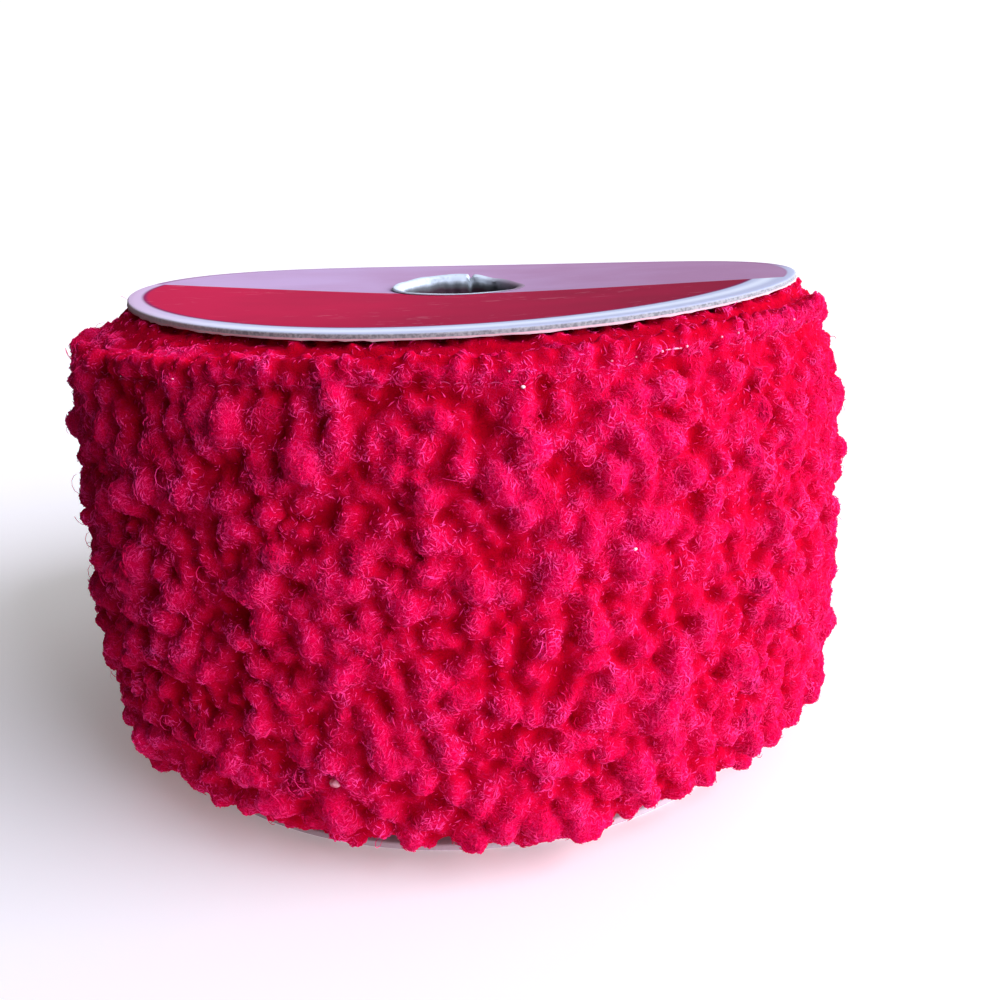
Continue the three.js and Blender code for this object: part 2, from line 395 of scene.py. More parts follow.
def pile_material():
    """Felted red pile, painted darker in the creases and lighter on the tips as painted shade and light. A
    little light goes through it and comes out redder.
    """
    material, tree, shader, place = wool("sherpa_pile", 0.95, 0.18, (1, 0.0, 0.1, 1))
    uneven = calc(tree, "MULTIPLY_ADD", cloud(tree, place, 140.0, 3.0), 0.5, -0.25)
    level = calc(tree, "ADD", stored(tree, "rise"), uneven)
    # Painted shade and light: darker in the creases, lighter on the tips, by how far a point stands out.
    dye = ramp(tree, level, [(0.08, CREASE_SHADE_RED), (0.5, PILE_RED), (1.0, TIP_LIT_RED)])
    coarse = noise_line(tree, place, 700.0, 0.9, 0.025)
    fine = noise_line(tree, place, 1300.0, 1.6, 0.05)
    lines = calc(tree, "MAXIMUM", coarse, fine)
    share = calc(tree, "MULTIPLY", calc(tree, "MULTIPLY", lines, level), 0.6, clamp=True)
    fill(tree, shader, Base_Color=blend(tree, share, dye, FIBRE_PINK), Normal=bump(tree, lines, 0.6, 0.18),
         Subsurface_Weight=0.5, Subsurface_Radius=(1.0, 0.15, 0.25), Subsurface_Scale=1.6 * MM)
    return material


def fibre_material():
    """Single dyed fibres, paler than the felt because light goes through them."""
    material, tree, shader, place = wool("loose_fibre", 0.6, 0.3, (1, 0.03, 0.38, 1))
    tone = cloud(tree, place, 300.0, 2.0)
    fill(tree, shader, Base_Color=ramp(tree, tone, [(0.38, FIBRE_DEEP), (0.66, FIBRE_BRIGHT)]))
    return material


PILE = pile_material()
FIBRE = fibre_material()
print("pile materials:", PILE.name, FIBRE.name)

# %% [markdown]
# ## Where the hem runs
# Much of the pile depends on how far a point is from the hem or from a card, so these are measured first. The
# hem climbs a little round the spool. Its top is read from a merged copy of the CAD roll, as the highest
# point in each of many narrow columns, and smoothed along its run.

# %% Measure the roll
CARD_RIM = 50.8
CARD_THICKNESS = 0.8
TOP_CENTRE = Vector((1.0, 0.1))
BOTTOM_CENTRE = Vector((-0.9, 0.0))
MID_HEIGHT = 35.0
CUT_END = 218.0
ROLL_COLUMNS = 126
HEM_LOWEST = 55
HEM_OVERHANG = 2.6


def azimuth_of(point):
    """Degrees round the spool, counted on from the cut end of the ribbon, from 0 to 360."""
    return (math.degrees(math.atan2(point[1], point[0])) + 90 - CUT_END) % 360


def from_card(point):
    """How far a point in mm is outside the rim of the nearer card."""
    centre = TOP_CENTRE if point[2] > MID_HEIGHT else BOTTOM_CENTRE
    return math.hypot(point[0] - centre.x, point[1] - centre.y) - CARD_RIM


def merged_roll():
    """A copy of the CAD roll as one skin."""
    form = bmesh.new()
    form.from_mesh(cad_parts["ribbon_roll"].data)
    bmesh.ops.remove_doubles(form, verts=form.verts, dist=0.01 * MM)
    return form


def hem_crest(form):
    """The top of the hem all the way round: azimuth, radius and height of its highest points."""
    columns = {}
    for vertex in form.verts:
        point = vertex.co / MM
        if point.z < HEM_LOWEST or from_card(point) < HEM_OVERHANG:
            continue
        column = int(azimuth_of(point) / 360 * ROLL_COLUMNS)
        if column not in columns or point.z > columns[column][2]:
            columns[column] = (azimuth_of(point), math.hypot(point.x, point.y), point.z)
    rows = np.array([columns[c] for c in sorted(columns)])
    for k in (1, 2):
        padded = np.concatenate([rows[:1, k], rows[:, k], rows[-1:, k]])
        rows[:, k] = (padded[:-2] + padded[1:-1] + padded[2:]) / 3
    return rows


roll = merged_roll()
CREST = hem_crest(roll)


def crest_at(turn):
    """Radius and height of the hem's top at a turn past the cut end."""
    return float(np.interp(turn, CREST[:, 0], CREST[:, 1])), float(np.interp(turn, CREST[:, 0], CREST[:, 2]))


def below_hem(point):
    """How far a point in mm is from the top of the hem, across the ribbon."""
    radius, height = crest_at(azimuth_of(point))
    return math.hypot(math.hypot(point[0], point[1]) - radius, point[2] - height)


print("hem from", CREST[:, 2].min().round(1), "to", CREST[:, 2].max().round(1), "mm high")

# %% [markdown]
# ## The surface under the nubs
# The nubs need a smooth surface to sit on. The CAD roll has the right outline, with its own coarse lumps, so
# the copy is ironed with a few rounds of smoothing, more on the wall than on the hem. Then it is pulled in by
# about the height of the pile, because the CAD stops where the tips of the pile end.

# %% Iron the roll
WALL_DEPTH = 0.8
HEM_DEPTH = 0.45
HEM_BAND = 3.3
IRON_ROUNDS = 6
IRON_FROM_CARD = 4


def smooth(form, points, factor):
    """One round of smoothing."""
    every_way = {"use_axis_x": True, "use_axis_y": True, "use_axis_z": True}
    bmesh.ops.smooth_vert(form, verts=points, factor=factor, **every_way)


def ironed_roll(form):
    """The roll with its lumps smoothed out and its surface pulled in."""
    wall = [v for v in form.verts
            if from_card(v.co / MM) > IRON_FROM_CARD and below_hem(v.co / MM) > HEM_BAND + 1]
    for _ in range(IRON_ROUNDS):
        smooth(form, wall, 0.5)
    smooth(form, form.verts, 0.3)
    form.normal_update()
    ease = [min(1.0, max(0.0, below_hem(v.co / MM) - HEM_BAND) / 3) for v in form.verts]
    depths = [HEM_DEPTH + (WALL_DEPTH - HEM_DEPTH) * e for e in ease]
    moved = [v.co - v.normal * depth * MM for v, depth in zip(form.verts, depths)]
    for vertex, place in zip(form.verts, moved):
        vertex.co = place
    return grown("ironed", mesh_of(form, "ironed"), [("SUBSURF", {"levels": 1, "render_levels": 1})])


ironed = ironed_roll(roll)
ironed_tree = BVHTree.FromPolygons([v.co for v in ironed.vertices], [p.vertices for p in ironed.polygons])
print("ironed roll:", len(ironed.polygons), "faces")

# %% [markdown]
# ## Nub shapes
# Look closely and no nub is a ball: some are short curls, some are hooks, some are two lumps grown
# together. Each shape here is a chain of small spheres along an arc. They may overlap freely, because a
# voxel remesh later melts everything into one felted skin.

# %% Make the nub shapes
NUB_CHAINS = [
    {"balls": 1, "bend": 0, "step": 0.0, "taper": 0.0, "stretch": 1.15},
    {"balls": 1, "bend": 0, "step": 0.0, "taper": 0.0, "stretch": 1.4},
    {"balls": 1, "bend": 0, "step": 0.0, "taper": 0.0, "stretch": 1.3},
    {"balls": 2, "bend": 0, "step": 0.8, "taper": 0.15, "stretch": 1.1},
    {"balls": 2, "bend": 0, "step": 1.0, "taper": 0.3, "stretch": 1.0},
    {"balls": 3, "bend": 45, "step": 0.8, "taper": 0.1, "stretch": 1.0},
    {"balls": 3, "bend": 75, "step": 0.9, "taper": 0.2, "stretch": 1.0},
    {"balls": 4, "bend": 60, "step": 0.85, "taper": 0.1, "stretch": 1.0},
]


def hidden_group(name, meshes):
    """A collection of shapes for a tree to pick from. It isn't part of the scene."""
    group = bpy.data.collections.new(name)
    for i, mesh in enumerate(meshes):
        group.objects.link(bpy.data.objects.new(f"{name}_{i:02d}", mesh))
    return group


def wobble(place):
    """A small push in some direction: the same noise read at three places."""
    return Vector([noise.noise(place + Vector((31.7, 8.3, 17.9)) * axis) for axis in range(3)])


def ball(form, radius, matrix):
    """Add a small sphere of 80 faces, placed and stretched by a matrix."""
    bmesh.ops.create_icosphere(form, subdivisions=2, radius=radius, matrix=matrix)


def nub_chain(balls, bend, step, taper, stretch, dice):
    """A chain of lumpy spheres along an arc, about two units across."""
    form = bmesh.new()
    place = Vector((0, 0, 0))
    heading = 0.0
    centre = Vector((0, 0, 0))
    for i in range(balls):
        radius = 1 - taper * i / max(1, balls - 1)
        radius *= 0.8 if balls > 2 else 1.0
        wide, tall = dice.uniform(0.82, 1.0), dice.uniform(0.95, 1.2)
        size = Matrix.Diagonal((radius * stretch, radius * wide, radius * tall, 1))
        lift = Vector((0, 0, dice.uniform(-0.15, 0.25)))
        ball(form, 1, Matrix.Translation(place + lift) @ size)
        centre += place / balls
        place = place + Vector((math.cos(heading), math.sin(heading), 0)) * step * radius
        heading += math.radians(bend)
    for vertex in form.verts:
        vertex.co -= centre
        vertex.co += wobble(vertex.co * 1.3 + Vector((bend, balls, 0))) * 0.16
    return mesh_of(form, "nub")


dice = random.Random(11)
nub_shapes = hidden_group("nub", [nub_chain(dice=dice, **chain) for chain in NUB_CHAINS])

# %% [markdown]
# ## Random shapes on points
# Nubs now, and loose fibres later, are set in the same way. For every point a shape is drawn from a group,
# gets a size, leans a little and turns. A field of noise can do the turning, so that neighbours lie nearly
# the same way and the eye sees a swirl.

# %% Pick and turn shapes
SIZE_SKEW = 1.4
SWIRL_TURNS = 4
SWIRL_LOOSE = 1.5


def turned(tree, tilt, seed, normals, swirl):
    """The turn of each shape: it stands on the cloth, leans a little, and faces any way or with the swirl."""
    loose = math.tau if swirl is None else SWIRL_LOOSE
    angles = add(tree, "FunctionNodeRandomValue", {"data_type": "FLOAT_VECTOR"}, Seed=seed,
                 _0=(-tilt, -tilt, 0.0), _1=(tilt, tilt, loose)).outputs[0]
    if swirl is not None:
        angle = calc(tree, "MULTIPLY", cloud(tree, None, swirl, 0.0), SWIRL_TURNS * math.tau)
        about = add(tree, "ShaderNodeCombineXYZ", Z=angle).outputs[0]
        angles = add(tree, "ShaderNodeVectorMath", {"operation": "ADD"}, _0=angles, _1=about).outputs[0]
    euler = add(tree, "FunctionNodeEulerToRotation", _0=angles).outputs[0]
    both = add(tree, "FunctionNodeRotateRotation", {"rotation_space": "LOCAL"}, _0=normals, _1=euler)
    return both.outputs[0]


def picked(tree, points, shapes, size, tilt, seed, normals, swirl=None, lift=0.0):
    """Instances of random shapes on points. A swirl is the scale of a field that is nearly the same for
    neighbours, so they turn together. Small sizes are more frequent than large ones."""
    facing = turned(tree, tilt, seed, normals, swirl)
    chance = add(tree, "FunctionNodeRandomValue", {"data_type": "FLOAT"}, _2=0.0, _3=1.0, Seed=seed)
    skewed = calc(tree, "POWER", chance.outputs[1], SIZE_SKEW)
    scale = add(tree, "ShaderNodeMapRange", Value=skewed, To_Min=size[0], To_Max=size[1]).outputs[0]
    which = add(tree, "FunctionNodeRandomValue", {"data_type": "INT"}, _4=0, _5=99, Seed=seed)
    group = add(tree, "GeometryNodeCollectionInfo", _0=shapes, _1=True, _2=True)
    placed = add(tree, "GeometryNodeInstanceOnPoints", Points=points, Instance=group.outputs[0],
                 Pick_Instance=True, Instance_Index=which.outputs[2], Rotation=facing, Scale=scale)
    return add(tree, "GeometryNodeTranslateInstances", Instances=placed.outputs[0],
               Translation=(0, 0, lift)).outputs[0]


print("shapes can be picked at random")

# %% [markdown]
# ## Scatter, melt and felt
# The pile takes three steps. The first tree keeps a strip of cloth, thickens it inwards and scatters three
# layers of nubs on it: big ones on the wall, small ones sunk between them, and the smallest on the hem and by
# the cards. Then a voxel remesh melts them together. The last tree roughens the melted skin with two noises,
# like a hand that rubs the cloth.

# %% Scatter and felt
NUB_LAYERS = [("wall", "wall", -0.25), ("fill", "wall", -0.3), ("edge", "edge", 0.1)]
NUB_SIZES = (0.76, 1.3)
NUB_TILT = 0.4
LAYER_SEEDS = 50.0
MOST_NUBS = 1500000.0
CLOTH_THICKNESS = 1.2


def scatter_tree():
    """A strip of cloth with its nubs. The cloth comes in whole, so that all sectors share one scatter, but
    only the strip of a sector is kept."""
    tree, given = shape_tree(
        "scatter nubs", seed=7, wall_spacing=3.85 * MM, wall_radius=2.2 * MM,
        fill_spacing=2.6 * MM, fill_radius=1.2 * MM, edge_spacing=1.6 * MM, edge_radius=0.9 * MM,
    )
    cloth = given["Geometry"]
    other = add(tree, "FunctionNodeCompare", {"data_type": "FLOAT", "operation": "LESS_THAN"},
                _0=stored(tree, "strip"), _1=0.5)
    strip = add(tree, "GeometryNodeDeleteGeometry", {"domain": "FACE"}, Geometry=cloth,
                Selection=other.outputs[0]).outputs[0]
    slab = add(tree, "GeometryNodeExtrudeMesh", Mesh=strip, Offset_Scale=-CLOTH_THICKNESS * MM,
               Individual=False)
    back = add(tree, "GeometryNodeFlipFaces", Mesh=strip).outputs[0]
    layers = [back, slab.outputs["Mesh"]]
    for step, (layer, area, lift) in enumerate(NUB_LAYERS):
        seed = calc(tree, "ADD", given["seed"], LAYER_SEEDS * step)
        spread = add(tree, "GeometryNodeDistributePointsOnFaces", {"distribute_method": "POISSON"},
                     Mesh=cloth, Distance_Min=given[f"{layer}_spacing"], Density_Max=MOST_NUBS,
                     Density_Factor=stored(tree, area), Seed=seed)
        sizes = [calc(tree, "MULTIPLY", given[f"{layer}_radius"], share) for share in NUB_SIZES]
        layers.append(picked(tree, spread.outputs["Points"], nub_shapes, sizes, NUB_TILT, seed,
                             spread.outputs["Rotation"], lift=lift * MM))
    together = tree.nodes.new("GeometryNodeJoinGeometry")
    for layer in layers:
        tree.links.new(layer, together.inputs[0])
    flat = add(tree, "GeometryNodeRealizeInstances", Geometry=together.outputs[0]).outputs[0]
    sewn = add(tree, "GeometryNodeMergeByDistance", Geometry=flat, Distance=0.001 * MM).outputs[0]
    end_tree(tree, sewn, PILE)
    return tree


def felt_tree():
    """Two noises push the skin in and out along its normals."""
    tree, given = shape_tree("felt the skin", rub=0.34 * MM, fuzz=0.17 * MM)
    skin = given["Geometry"]
    for size, amount in ((420.0, given["rub"]), (1200.0, given["fuzz"])):
        signed = calc(tree, "MULTIPLY_ADD", cloud(tree, None, size, 2.0), 2.0, -1.0)
        push = calc(tree, "MULTIPLY", signed, amount)
        normal = add(tree, "GeometryNodeInputNormal").outputs[0]
        offset = add(tree, "ShaderNodeVectorMath", {"operation": "SCALE"}, _0=normal, Scale=push).outputs[0]
        skin = add(tree, "GeometryNodeSetPosition", Geometry=skin, Offset=offset).outputs[0]
    end_tree(tree, skin, PILE)
    return tree


SCATTER = scatter_tree()
FELT = felt_tree()
print("trees:", SCATTER.name, "and", FELT.name)

# %% [markdown]
# ## Nubs that show against the background
# Most nubs may fall where chance puts them. A few stand out on the outline, at the sides and under the
# lower edge, and people notice an outline first. These are placed one by one as short drips of spheres, by
# azimuth from the front and height, and melt into the pile with the rest.

# %% Place the outline nubs
OUTLINE_NUBS = [
    {"azimuth": -0.2, "height": 7.2, "out": 59.6, "radii": (1.1, 0.85, 0.6, 0.4), "drop": 0.85},
    {"azimuth": 12.0, "height": 7.4, "out": 59.6, "radii": (1.75, 1.5), "drop": 0.5},
    {"azimuth": 13.8, "height": 7.2, "out": 59.6, "radii": (1.6, 1.3), "drop": 0.5},
    {"azimuth": 21.7, "height": 9.6, "out": 59.6, "radii": (1.4, 1.1), "drop": 0.7},
    {"azimuth": 38.8, "height": 11.8, "out": 60.2, "radii": (1.7, 1.4), "drop": 0.8},
    {"azimuth": 58.0, "height": 10.5, "out": 60.2, "radii": (1.8, 1.4), "drop": 0.6},
    {"azimuth": 66.0, "height": 8.5, "out": 59.8, "radii": (1.8, 1.3), "drop": 0.6},
    {"azimuth": -27.4, "height": 10.0, "out": 60.2, "radii": (1.3, 0.9), "drop": 0.9},
    {"azimuth": -51.2, "height": 11.5, "out": 60.6, "radii": (1.8, 1.3), "drop": 0.8},
    {"azimuth": -61.4, "height": 41.2, "out": 61.0, "radii": (1.2, 0.8), "drop": 0.7},
    {"azimuth": -57.1, "height": 36.0, "out": 61.0, "radii": (1.3, 0.9), "drop": 0.7},
]
DRIP_SUNK = 1.2


def polar(radius, azimuth, height):
    """A point in metres from a radius, an azimuth from the front in degrees and a height in mm."""
    angle = math.radians(azimuth - 90)
    return Vector((radius * math.cos(angle), radius * math.sin(angle), height)) * MM


def outline_nubs(first, last):
    """The listed drips between two turns past the cut end, as one mesh."""
    form = bmesh.new()
    for drip in OUTLINE_NUBS:
        place = polar(drip["out"] - DRIP_SUNK, drip["azimuth"], drip["height"])
        if not first <= azimuth_of(place) < last:
            continue
        for radius in drip["radii"]:
            ball(form, radius * MM, Matrix.Translation(place))
            place = place - Vector((0, 0, drip["drop"] * radius * MM))
    return mesh_of(form, "drips")


def joined(meshes):
    """Several meshes as one."""
    form = bmesh.new()
    for mesh in meshes:
        form.from_mesh(mesh)
    return mesh_of(form, "joined")


print("outline nubs:", len(OUTLINE_NUBS))

# %% [markdown]
# ## Tufts along the hem
# Where the ribbon's edge is folded over its wire and sewn, the pile can't curl. It stands up as a row of
# short upright tufts instead, a good two millimetres apart. Each is an egg that follows the top of the hem.

# %% Place the hem tufts
TUFT_STEP = 2.3


def hem_tufts(first, last, dice):
    """Upright eggs along the hem between two turns past the cut end, as one mesh."""
    form = bmesh.new()
    turn = first
    while turn < last:
        radius, height = crest_at(turn)
        size = Vector((dice.uniform(0.85, 1.15), dice.uniform(0.8, 1.15), dice.uniform(1.4, 1.95)))
        proud, lift = dice.uniform(0.3, 0.9), dice.uniform(-0.5, 0.25)
        centre = polar(radius + proud, turn + CUT_END, height - size.z + lift)
        facing = Matrix.Rotation(math.radians(turn + CUT_END - 90), 4, "Z")
        sideways = Matrix.Rotation(dice.uniform(-0.4, 0.4), 4, "X")
        lean = sideways @ Matrix.Rotation(dice.uniform(-0.25, 0.1), 4, "Y")
        stretch = Matrix.Diagonal((size.y, size.x, size.z, 1))
        ball(form, MM, Matrix.Translation(centre) @ facing @ lean @ stretch)
        turn += math.degrees(TUFT_STEP * dice.uniform(0.75, 1.3) / radius)
    return mesh_of(form, "tufts")


print("about", round(math.tau * CREST[:, 1].mean() / TUFT_STEP), "tufts along the hem")

# %% [markdown]
# ## Room for the cards
# Melted pile doesn't know about the cards that press on it. Every point that comes too near a card is moved
# back by the shorter way, down or outwards, and nothing goes below the floor. The same rule serves the loose
# fibres later. The printed face of the top card isn't flat: it leans a little, its rim waves once up and
# down on each side, and it is dished towards the hole, so its height is a function.

# %% Keep clear of the cards
SPOOL_HEIGHT = 68.65
TILT_RIGHT = math.radians(0.45)
TILT_BACK = math.radians(-0.63)
SADDLE_HEIGHT = 1.05
SADDLE_TURN = math.radians(13.4)
DISH_DEPTH = 1.3
DISH_POWER = 1.5
CLEAR = 0.2
BESIDE_TOP = 1.1
OFF_FLOOR = 0.1


def card_top(x, y):
    """The height of the top card's printed face in mm."""
    right = x - TOP_CENTRE.x
    back = y - TOP_CENTRE.y
    out = np.hypot(right, back) / CARD_RIM
    saddle = SADDLE_HEIGHT * np.cos(2 * (np.arctan2(back, right) + SADDLE_TURN)) * out**2
    dish = DISH_DEPTH * np.maximum(0, 1 - out) ** DISH_POWER
    return SPOOL_HEIGHT + right * math.tan(TILT_RIGHT) + back * math.tan(TILT_BACK) + saddle - dish


def places_of(mesh):
    """The points of a mesh in mm, one per row."""
    flat = np.empty(len(mesh.vertices) * 3)
    mesh.vertices.foreach_get("co", flat)
    return flat.reshape(-1, 3) / MM


def keep_clear(mesh):
    """Move what is too near a card or the floor back to its own side."""
    points = places_of(mesh)
    points[:, 2] = np.maximum(points[:, 2], OFF_FLOOR)
    under = card_top(points[:, 0], points[:, 1]) - CARD_THICKNESS - CLEAR
    for centre, side, limit, rim in ((TOP_CENTRE, 1, under, CARD_RIM + BESIDE_TOP),
                                     (BOTTOM_CENTRE, -1, CARD_THICKNESS + CLEAR, CARD_RIM + CLEAR)):
        across = points[:, :2] - np.array(centre)
        out = np.hypot(across[:, 0], across[:, 1])
        deep = (points[:, 2] - limit) * side
        near = (deep > 0) & (out < rim)
        outward = near & (rim - out < deep)
        inward = near & ~outward
        points[outward, :2] = np.array(centre) + across[outward] * (rim / out[outward])[:, None]
        points[inward, 2] -= deep[inward] * side
    mesh.vertices.foreach_set("co", (points * MM).ravel())
    mesh.update()


print("card from", round(float(card_top(-50, 0)), 1), "to", round(float(card_top(50, 0)), 1), "mm high")

# %% [markdown]
# ## The pile, in sectors
# A mesh this fine is easier to handle in parts. The touchable surface is cut into equal sectors round the
# core, each with one extra strip of bare cloth under its neighbour so that no seam opens. All sectors use the
# same scatter and keep their own share of it, so the nubs don't line up along a seam either. The weights
# say where big nubs go, the wall, and where small ones go: the hem and what shows between hem and card.
# A groove is left between hem and wall, because the hem is sewn down there.

# %% Mark a sector
SECTORS = 6
OVERLAP = 2.5
SHARED = 1.5
GROOVE = 1.0
UNDER_CARD = 6.0
BESIDE_BOTTOM = 0.55
BY_THE_CARDS = 1.9
WALL_STARTS = 3.4
HEM_TOP = 1.6
WALL_FACES_UP = (-0.7, 0.85)


def sector_strip(index):
    """The ironed roll, with the touchable faces of one sector marked and the weights for its nubs."""
    first = 360 / SECTORS * index
    last = first + 360 / SECTORS
    form = bmesh.new()
    form.from_mesh(ironed)
    strip = form.faces.layers.float.new("strip")
    for face in form.faces:
        centre = face.calc_center_median() / MM
        turn = azimuth_of(centre)
        inside = first <= turn <= last + (OVERLAP if index < SECTORS - 1 else 0)
        reach = -UNDER_CARD if centre.z > MID_HEIGHT else BESIDE_BOTTOM
        face[strip] = float(inside and from_card(centre) >= reach)
    wall = form.verts.layers.float.new("wall")
    edge = form.verts.layers.float.new("edge")
    for vertex in form.verts:
        point = vertex.co / MM
        away = from_card(point)
        depth = below_hem(point)
        owned = first - SHARED <= azimuth_of(point) <= last + SHARED and away > -UNDER_CARD
        upright = WALL_FACES_UP[0] < vertex.normal.z < WALL_FACES_UP[1]
        on_wall = away > WALL_STARTS and depth > HEM_BAND + GROOVE and upright
        by_a_card = 0.0 < away < BY_THE_CARDS
        vertex[wall] = float(owned and on_wall)
        vertex[edge] = float(owned and not on_wall and depth > HEM_TOP and not by_a_card)
    return mesh_of(form, "strip")


print(SECTORS, "sectors of", 360 / SECTORS, "degrees")

# %% [markdown]
# ## How high the pile stands
# The colour and the fibres both need to know how far a point stands out of the cloth, so the nearest point of
# the ironed roll is looked up for each, and the distance is stored on the mesh. The back of the skin lies in
# the dark and gets few faces: Decimate thins only the points of its vertex group.

# %% Measure and thin the pile
FULL_HEIGHT = 2.6
HIDDEN_BELOW = -0.5
HIDDEN_CUT = 0.85
LOW_PILE_WIDTH = 2.5
LOW_PILE_FADE = 2
LOW_PILE_GAIN = 2.6


def store_rise(mesh):
    """Store how far each point stands out of the cloth, from 0 to 1, with -1 on the hidden underside. Short
    pile along the hem counts as much as tall pile."""
    points = places_of(mesh)
    rise = np.empty(len(points))
    for i, vertex in enumerate(mesh.vertices):
        near, normal, _, _ = ironed_tree.find_nearest(vertex.co)
        rise[i] = (vertex.co - near).dot(normal) / MM
    turns = (np.degrees(np.arctan2(points[:, 1], points[:, 0])) + 90 - CUT_END) % 360
    radius = np.interp(turns, CREST[:, 0], CREST[:, 1])
    height = np.interp(turns, CREST[:, 0], CREST[:, 2])
    depth = np.hypot(np.hypot(points[:, 0], points[:, 1]) - radius, points[:, 2] - height)
    low_pile = 1 - np.clip((depth - LOW_PILE_WIDTH) / LOW_PILE_FADE, 0, 1)
    share = np.clip(rise / FULL_HEIGHT * (1 + LOW_PILE_GAIN * low_pile), 0, 1)
    values = np.where(rise < HIDDEN_BELOW, -1.0, share)
    mesh.attributes.new("rise", "FLOAT", "POINT").data.foreach_set("value", values)
    return np.flatnonzero(rise < HIDDEN_BELOW).tolist()


def thinned(mesh, under):
    """The same skin with few faces on its underside, which nobody sees."""
    ratio = 1 - HIDDEN_CUT * len(under) / len(mesh.vertices)
    return grown("thinned", mesh, [("DECIMATE", {"vertex_group": "under", "ratio": ratio})], under)


print("full height of the pile:", FULL_HEIGHT, "mm")

# %% [markdown]
# ## Grow the pile
# Every sector now goes the same way: mark its strip, scatter the nubs, add the drips of the outline and the
# tufts of the hem, melt, smooth a little, felt, and clear the cards. The voxel size decides how much detail
# stays: half a millimetre keeps even the smallest nubs apart, and less would cost far more faces.

# %% Grow the pile sector by sector
VOXEL = 0.54

pile_pieces = []
for index in range(SECTORS):
    rough = grown("rough", sector_strip(index), [(SCATTER, {})])
    first, last = 360 / SECTORS * index, 360 / SECTORS * (index + 1)
    extra = [outline_nubs(first, last), hem_tufts(first, last, random.Random(40 + index))]
    skin = grown(f"pile_{index + 1}", joined([rough] + extra), [
        ("REMESH", {"mode": "VOXEL", "voxel_size": VOXEL * MM, "use_smooth_shade": True}),
        ("SMOOTH", {"iterations": 1, "factor": 0.4}),
        (FELT, {}),
    ])
    keep_clear(skin)
    whole = len(skin.polygons)
    skin = thinned(skin, store_rise(skin))
    pile_pieces.append(new_piece(f"pile_{index + 1}", skin, PILE))
    print(pile_pieces[-1].name, len(skin.polygons), "faces, thinned from", whole)

# %% [markdown]
# ## Loose fibres
# Up close the nubs are covered with short bright fibres that swirl over their tops, and a few longer wisps
# arch over the creases. Each is a real thin shape here, because paint alone can't catch the light or break
# up the outline. One fibre is a closed three-sided spindle with a dozen faces, and Geometry Nodes puts tens
# of thousands of them where the pile stands highest.

# %% Make the fibre shapes
def fibre_shape(length, bend, lift, thickness, rings, dice):
    """A thin closed spindle that starts in the pile, rises and bends over."""
    heading = dice.uniform(-0.4, 0.4)
    climb = lift
    place = Vector((0, 0, -0.12))
    line = []
    for _ in range(rings + 2):
        line.append(place.copy())
        level = math.cos(climb)
        way = Vector((math.cos(heading) * level, math.sin(heading) * level, math.sin(climb)))
        place += way * length / (rings + 1)
        heading += bend / (rings + 1) * dice.uniform(0.6, 1.4)
        climb -= 1.7 * lift / (rings + 1) * dice.uniform(0.7, 1.3)
    middle = (line[0] + line[-1]) / 2
    line = [p - Vector((middle.x, middle.y, 0)) for p in line]
    points = [line[0]]
    for i in range(1, rings + 1):
        along = (line[i + 1] - line[i - 1]).normalized()
        side = along.cross(Vector((0, 0, 1))).normalized()
        up = side.cross(along)
        for k in range(3):
            angle = math.tau * k / 3
            points.append(line[i] + (side * math.cos(angle) + up * math.sin(angle)) * thickness / 2)
    points.append(line[-1])
    faces = [(0, 1 + (k + 1) % 3, 1 + k) for k in range(3)]
    for i in range(rings - 1):
        a, b = 1 + 3 * i, 4 + 3 * i
        faces += [(a + k, a + (k + 1) % 3, b + (k + 1) % 3, b + k) for k in range(3)]
    last = 1 + 3 * (rings - 1)
    faces += [(last + k, last + (k + 1) % 3, len(points) - 1) for k in range(3)]
    form = bmesh.new()
    corners = [form.verts.new(point * MM) for point in points]
    for face in faces:
        form.faces.new([corners[i] for i in face])
    return mesh_of(form, "fibre", outwards=True)


def dash_shape(length, width, arch):
    """The smallest closed fibre: four faces, two on top like a bent leaf and two below."""
    half = length / 2
    points = [(-half, 0, -0.04), (half, 0, 0.03), (0, width / 2, arch), (0, -width / 2, arch)]
    form = bmesh.new()
    corners = [form.verts.new(Vector(point) * MM) for point in points]
    for face in ((0, 2, 3), (1, 3, 2), (0, 1, 2), (1, 0, 3)):
        form.faces.new([corners[i] for i in face])
    return mesh_of(form, "dash", outwards=True)


dice = random.Random(5)
dashes = hidden_group("dash", [
    dash_shape(dice.uniform(0.4, 1.15), dice.uniform(0.09, 0.14), dice.uniform(0.08, 0.15)) for _ in range(8)
])
short_fibres = hidden_group("short", [
    fibre_shape(dice.uniform(0.8, 1.6), dice.choice((-1, 1)) * dice.uniform(1.4, 3.0), 0.5, 0.11, 2, dice)
    for _ in range(8)
])
long_fibres = hidden_group("long", [
    fibre_shape(dice.uniform(2.2, 4.2), dice.choice((-1, 1)) * dice.uniform(1.8, 3.8), 0.7, 0.075, 5, dice)
    for _ in range(8)
])

# %% [markdown]
# ## Fibres where the pile is high
# The pile mesh carries how far each point stands out of the cloth. One tree reads that number and makes it
# the density of random points, breaks it up into tufts with a noise, and sets a fibre on every point. A
# second noise turns the fibres, so that neighbours lie nearly the same way and the eye sees a swirl.

# %% Grow the fibres
TUFT_SCALE = 330.0
SWIRL_SCALE = 230.0
FIBRE_SIZES = (0.75, 1.35)
FIBRE_TILT = 0.35


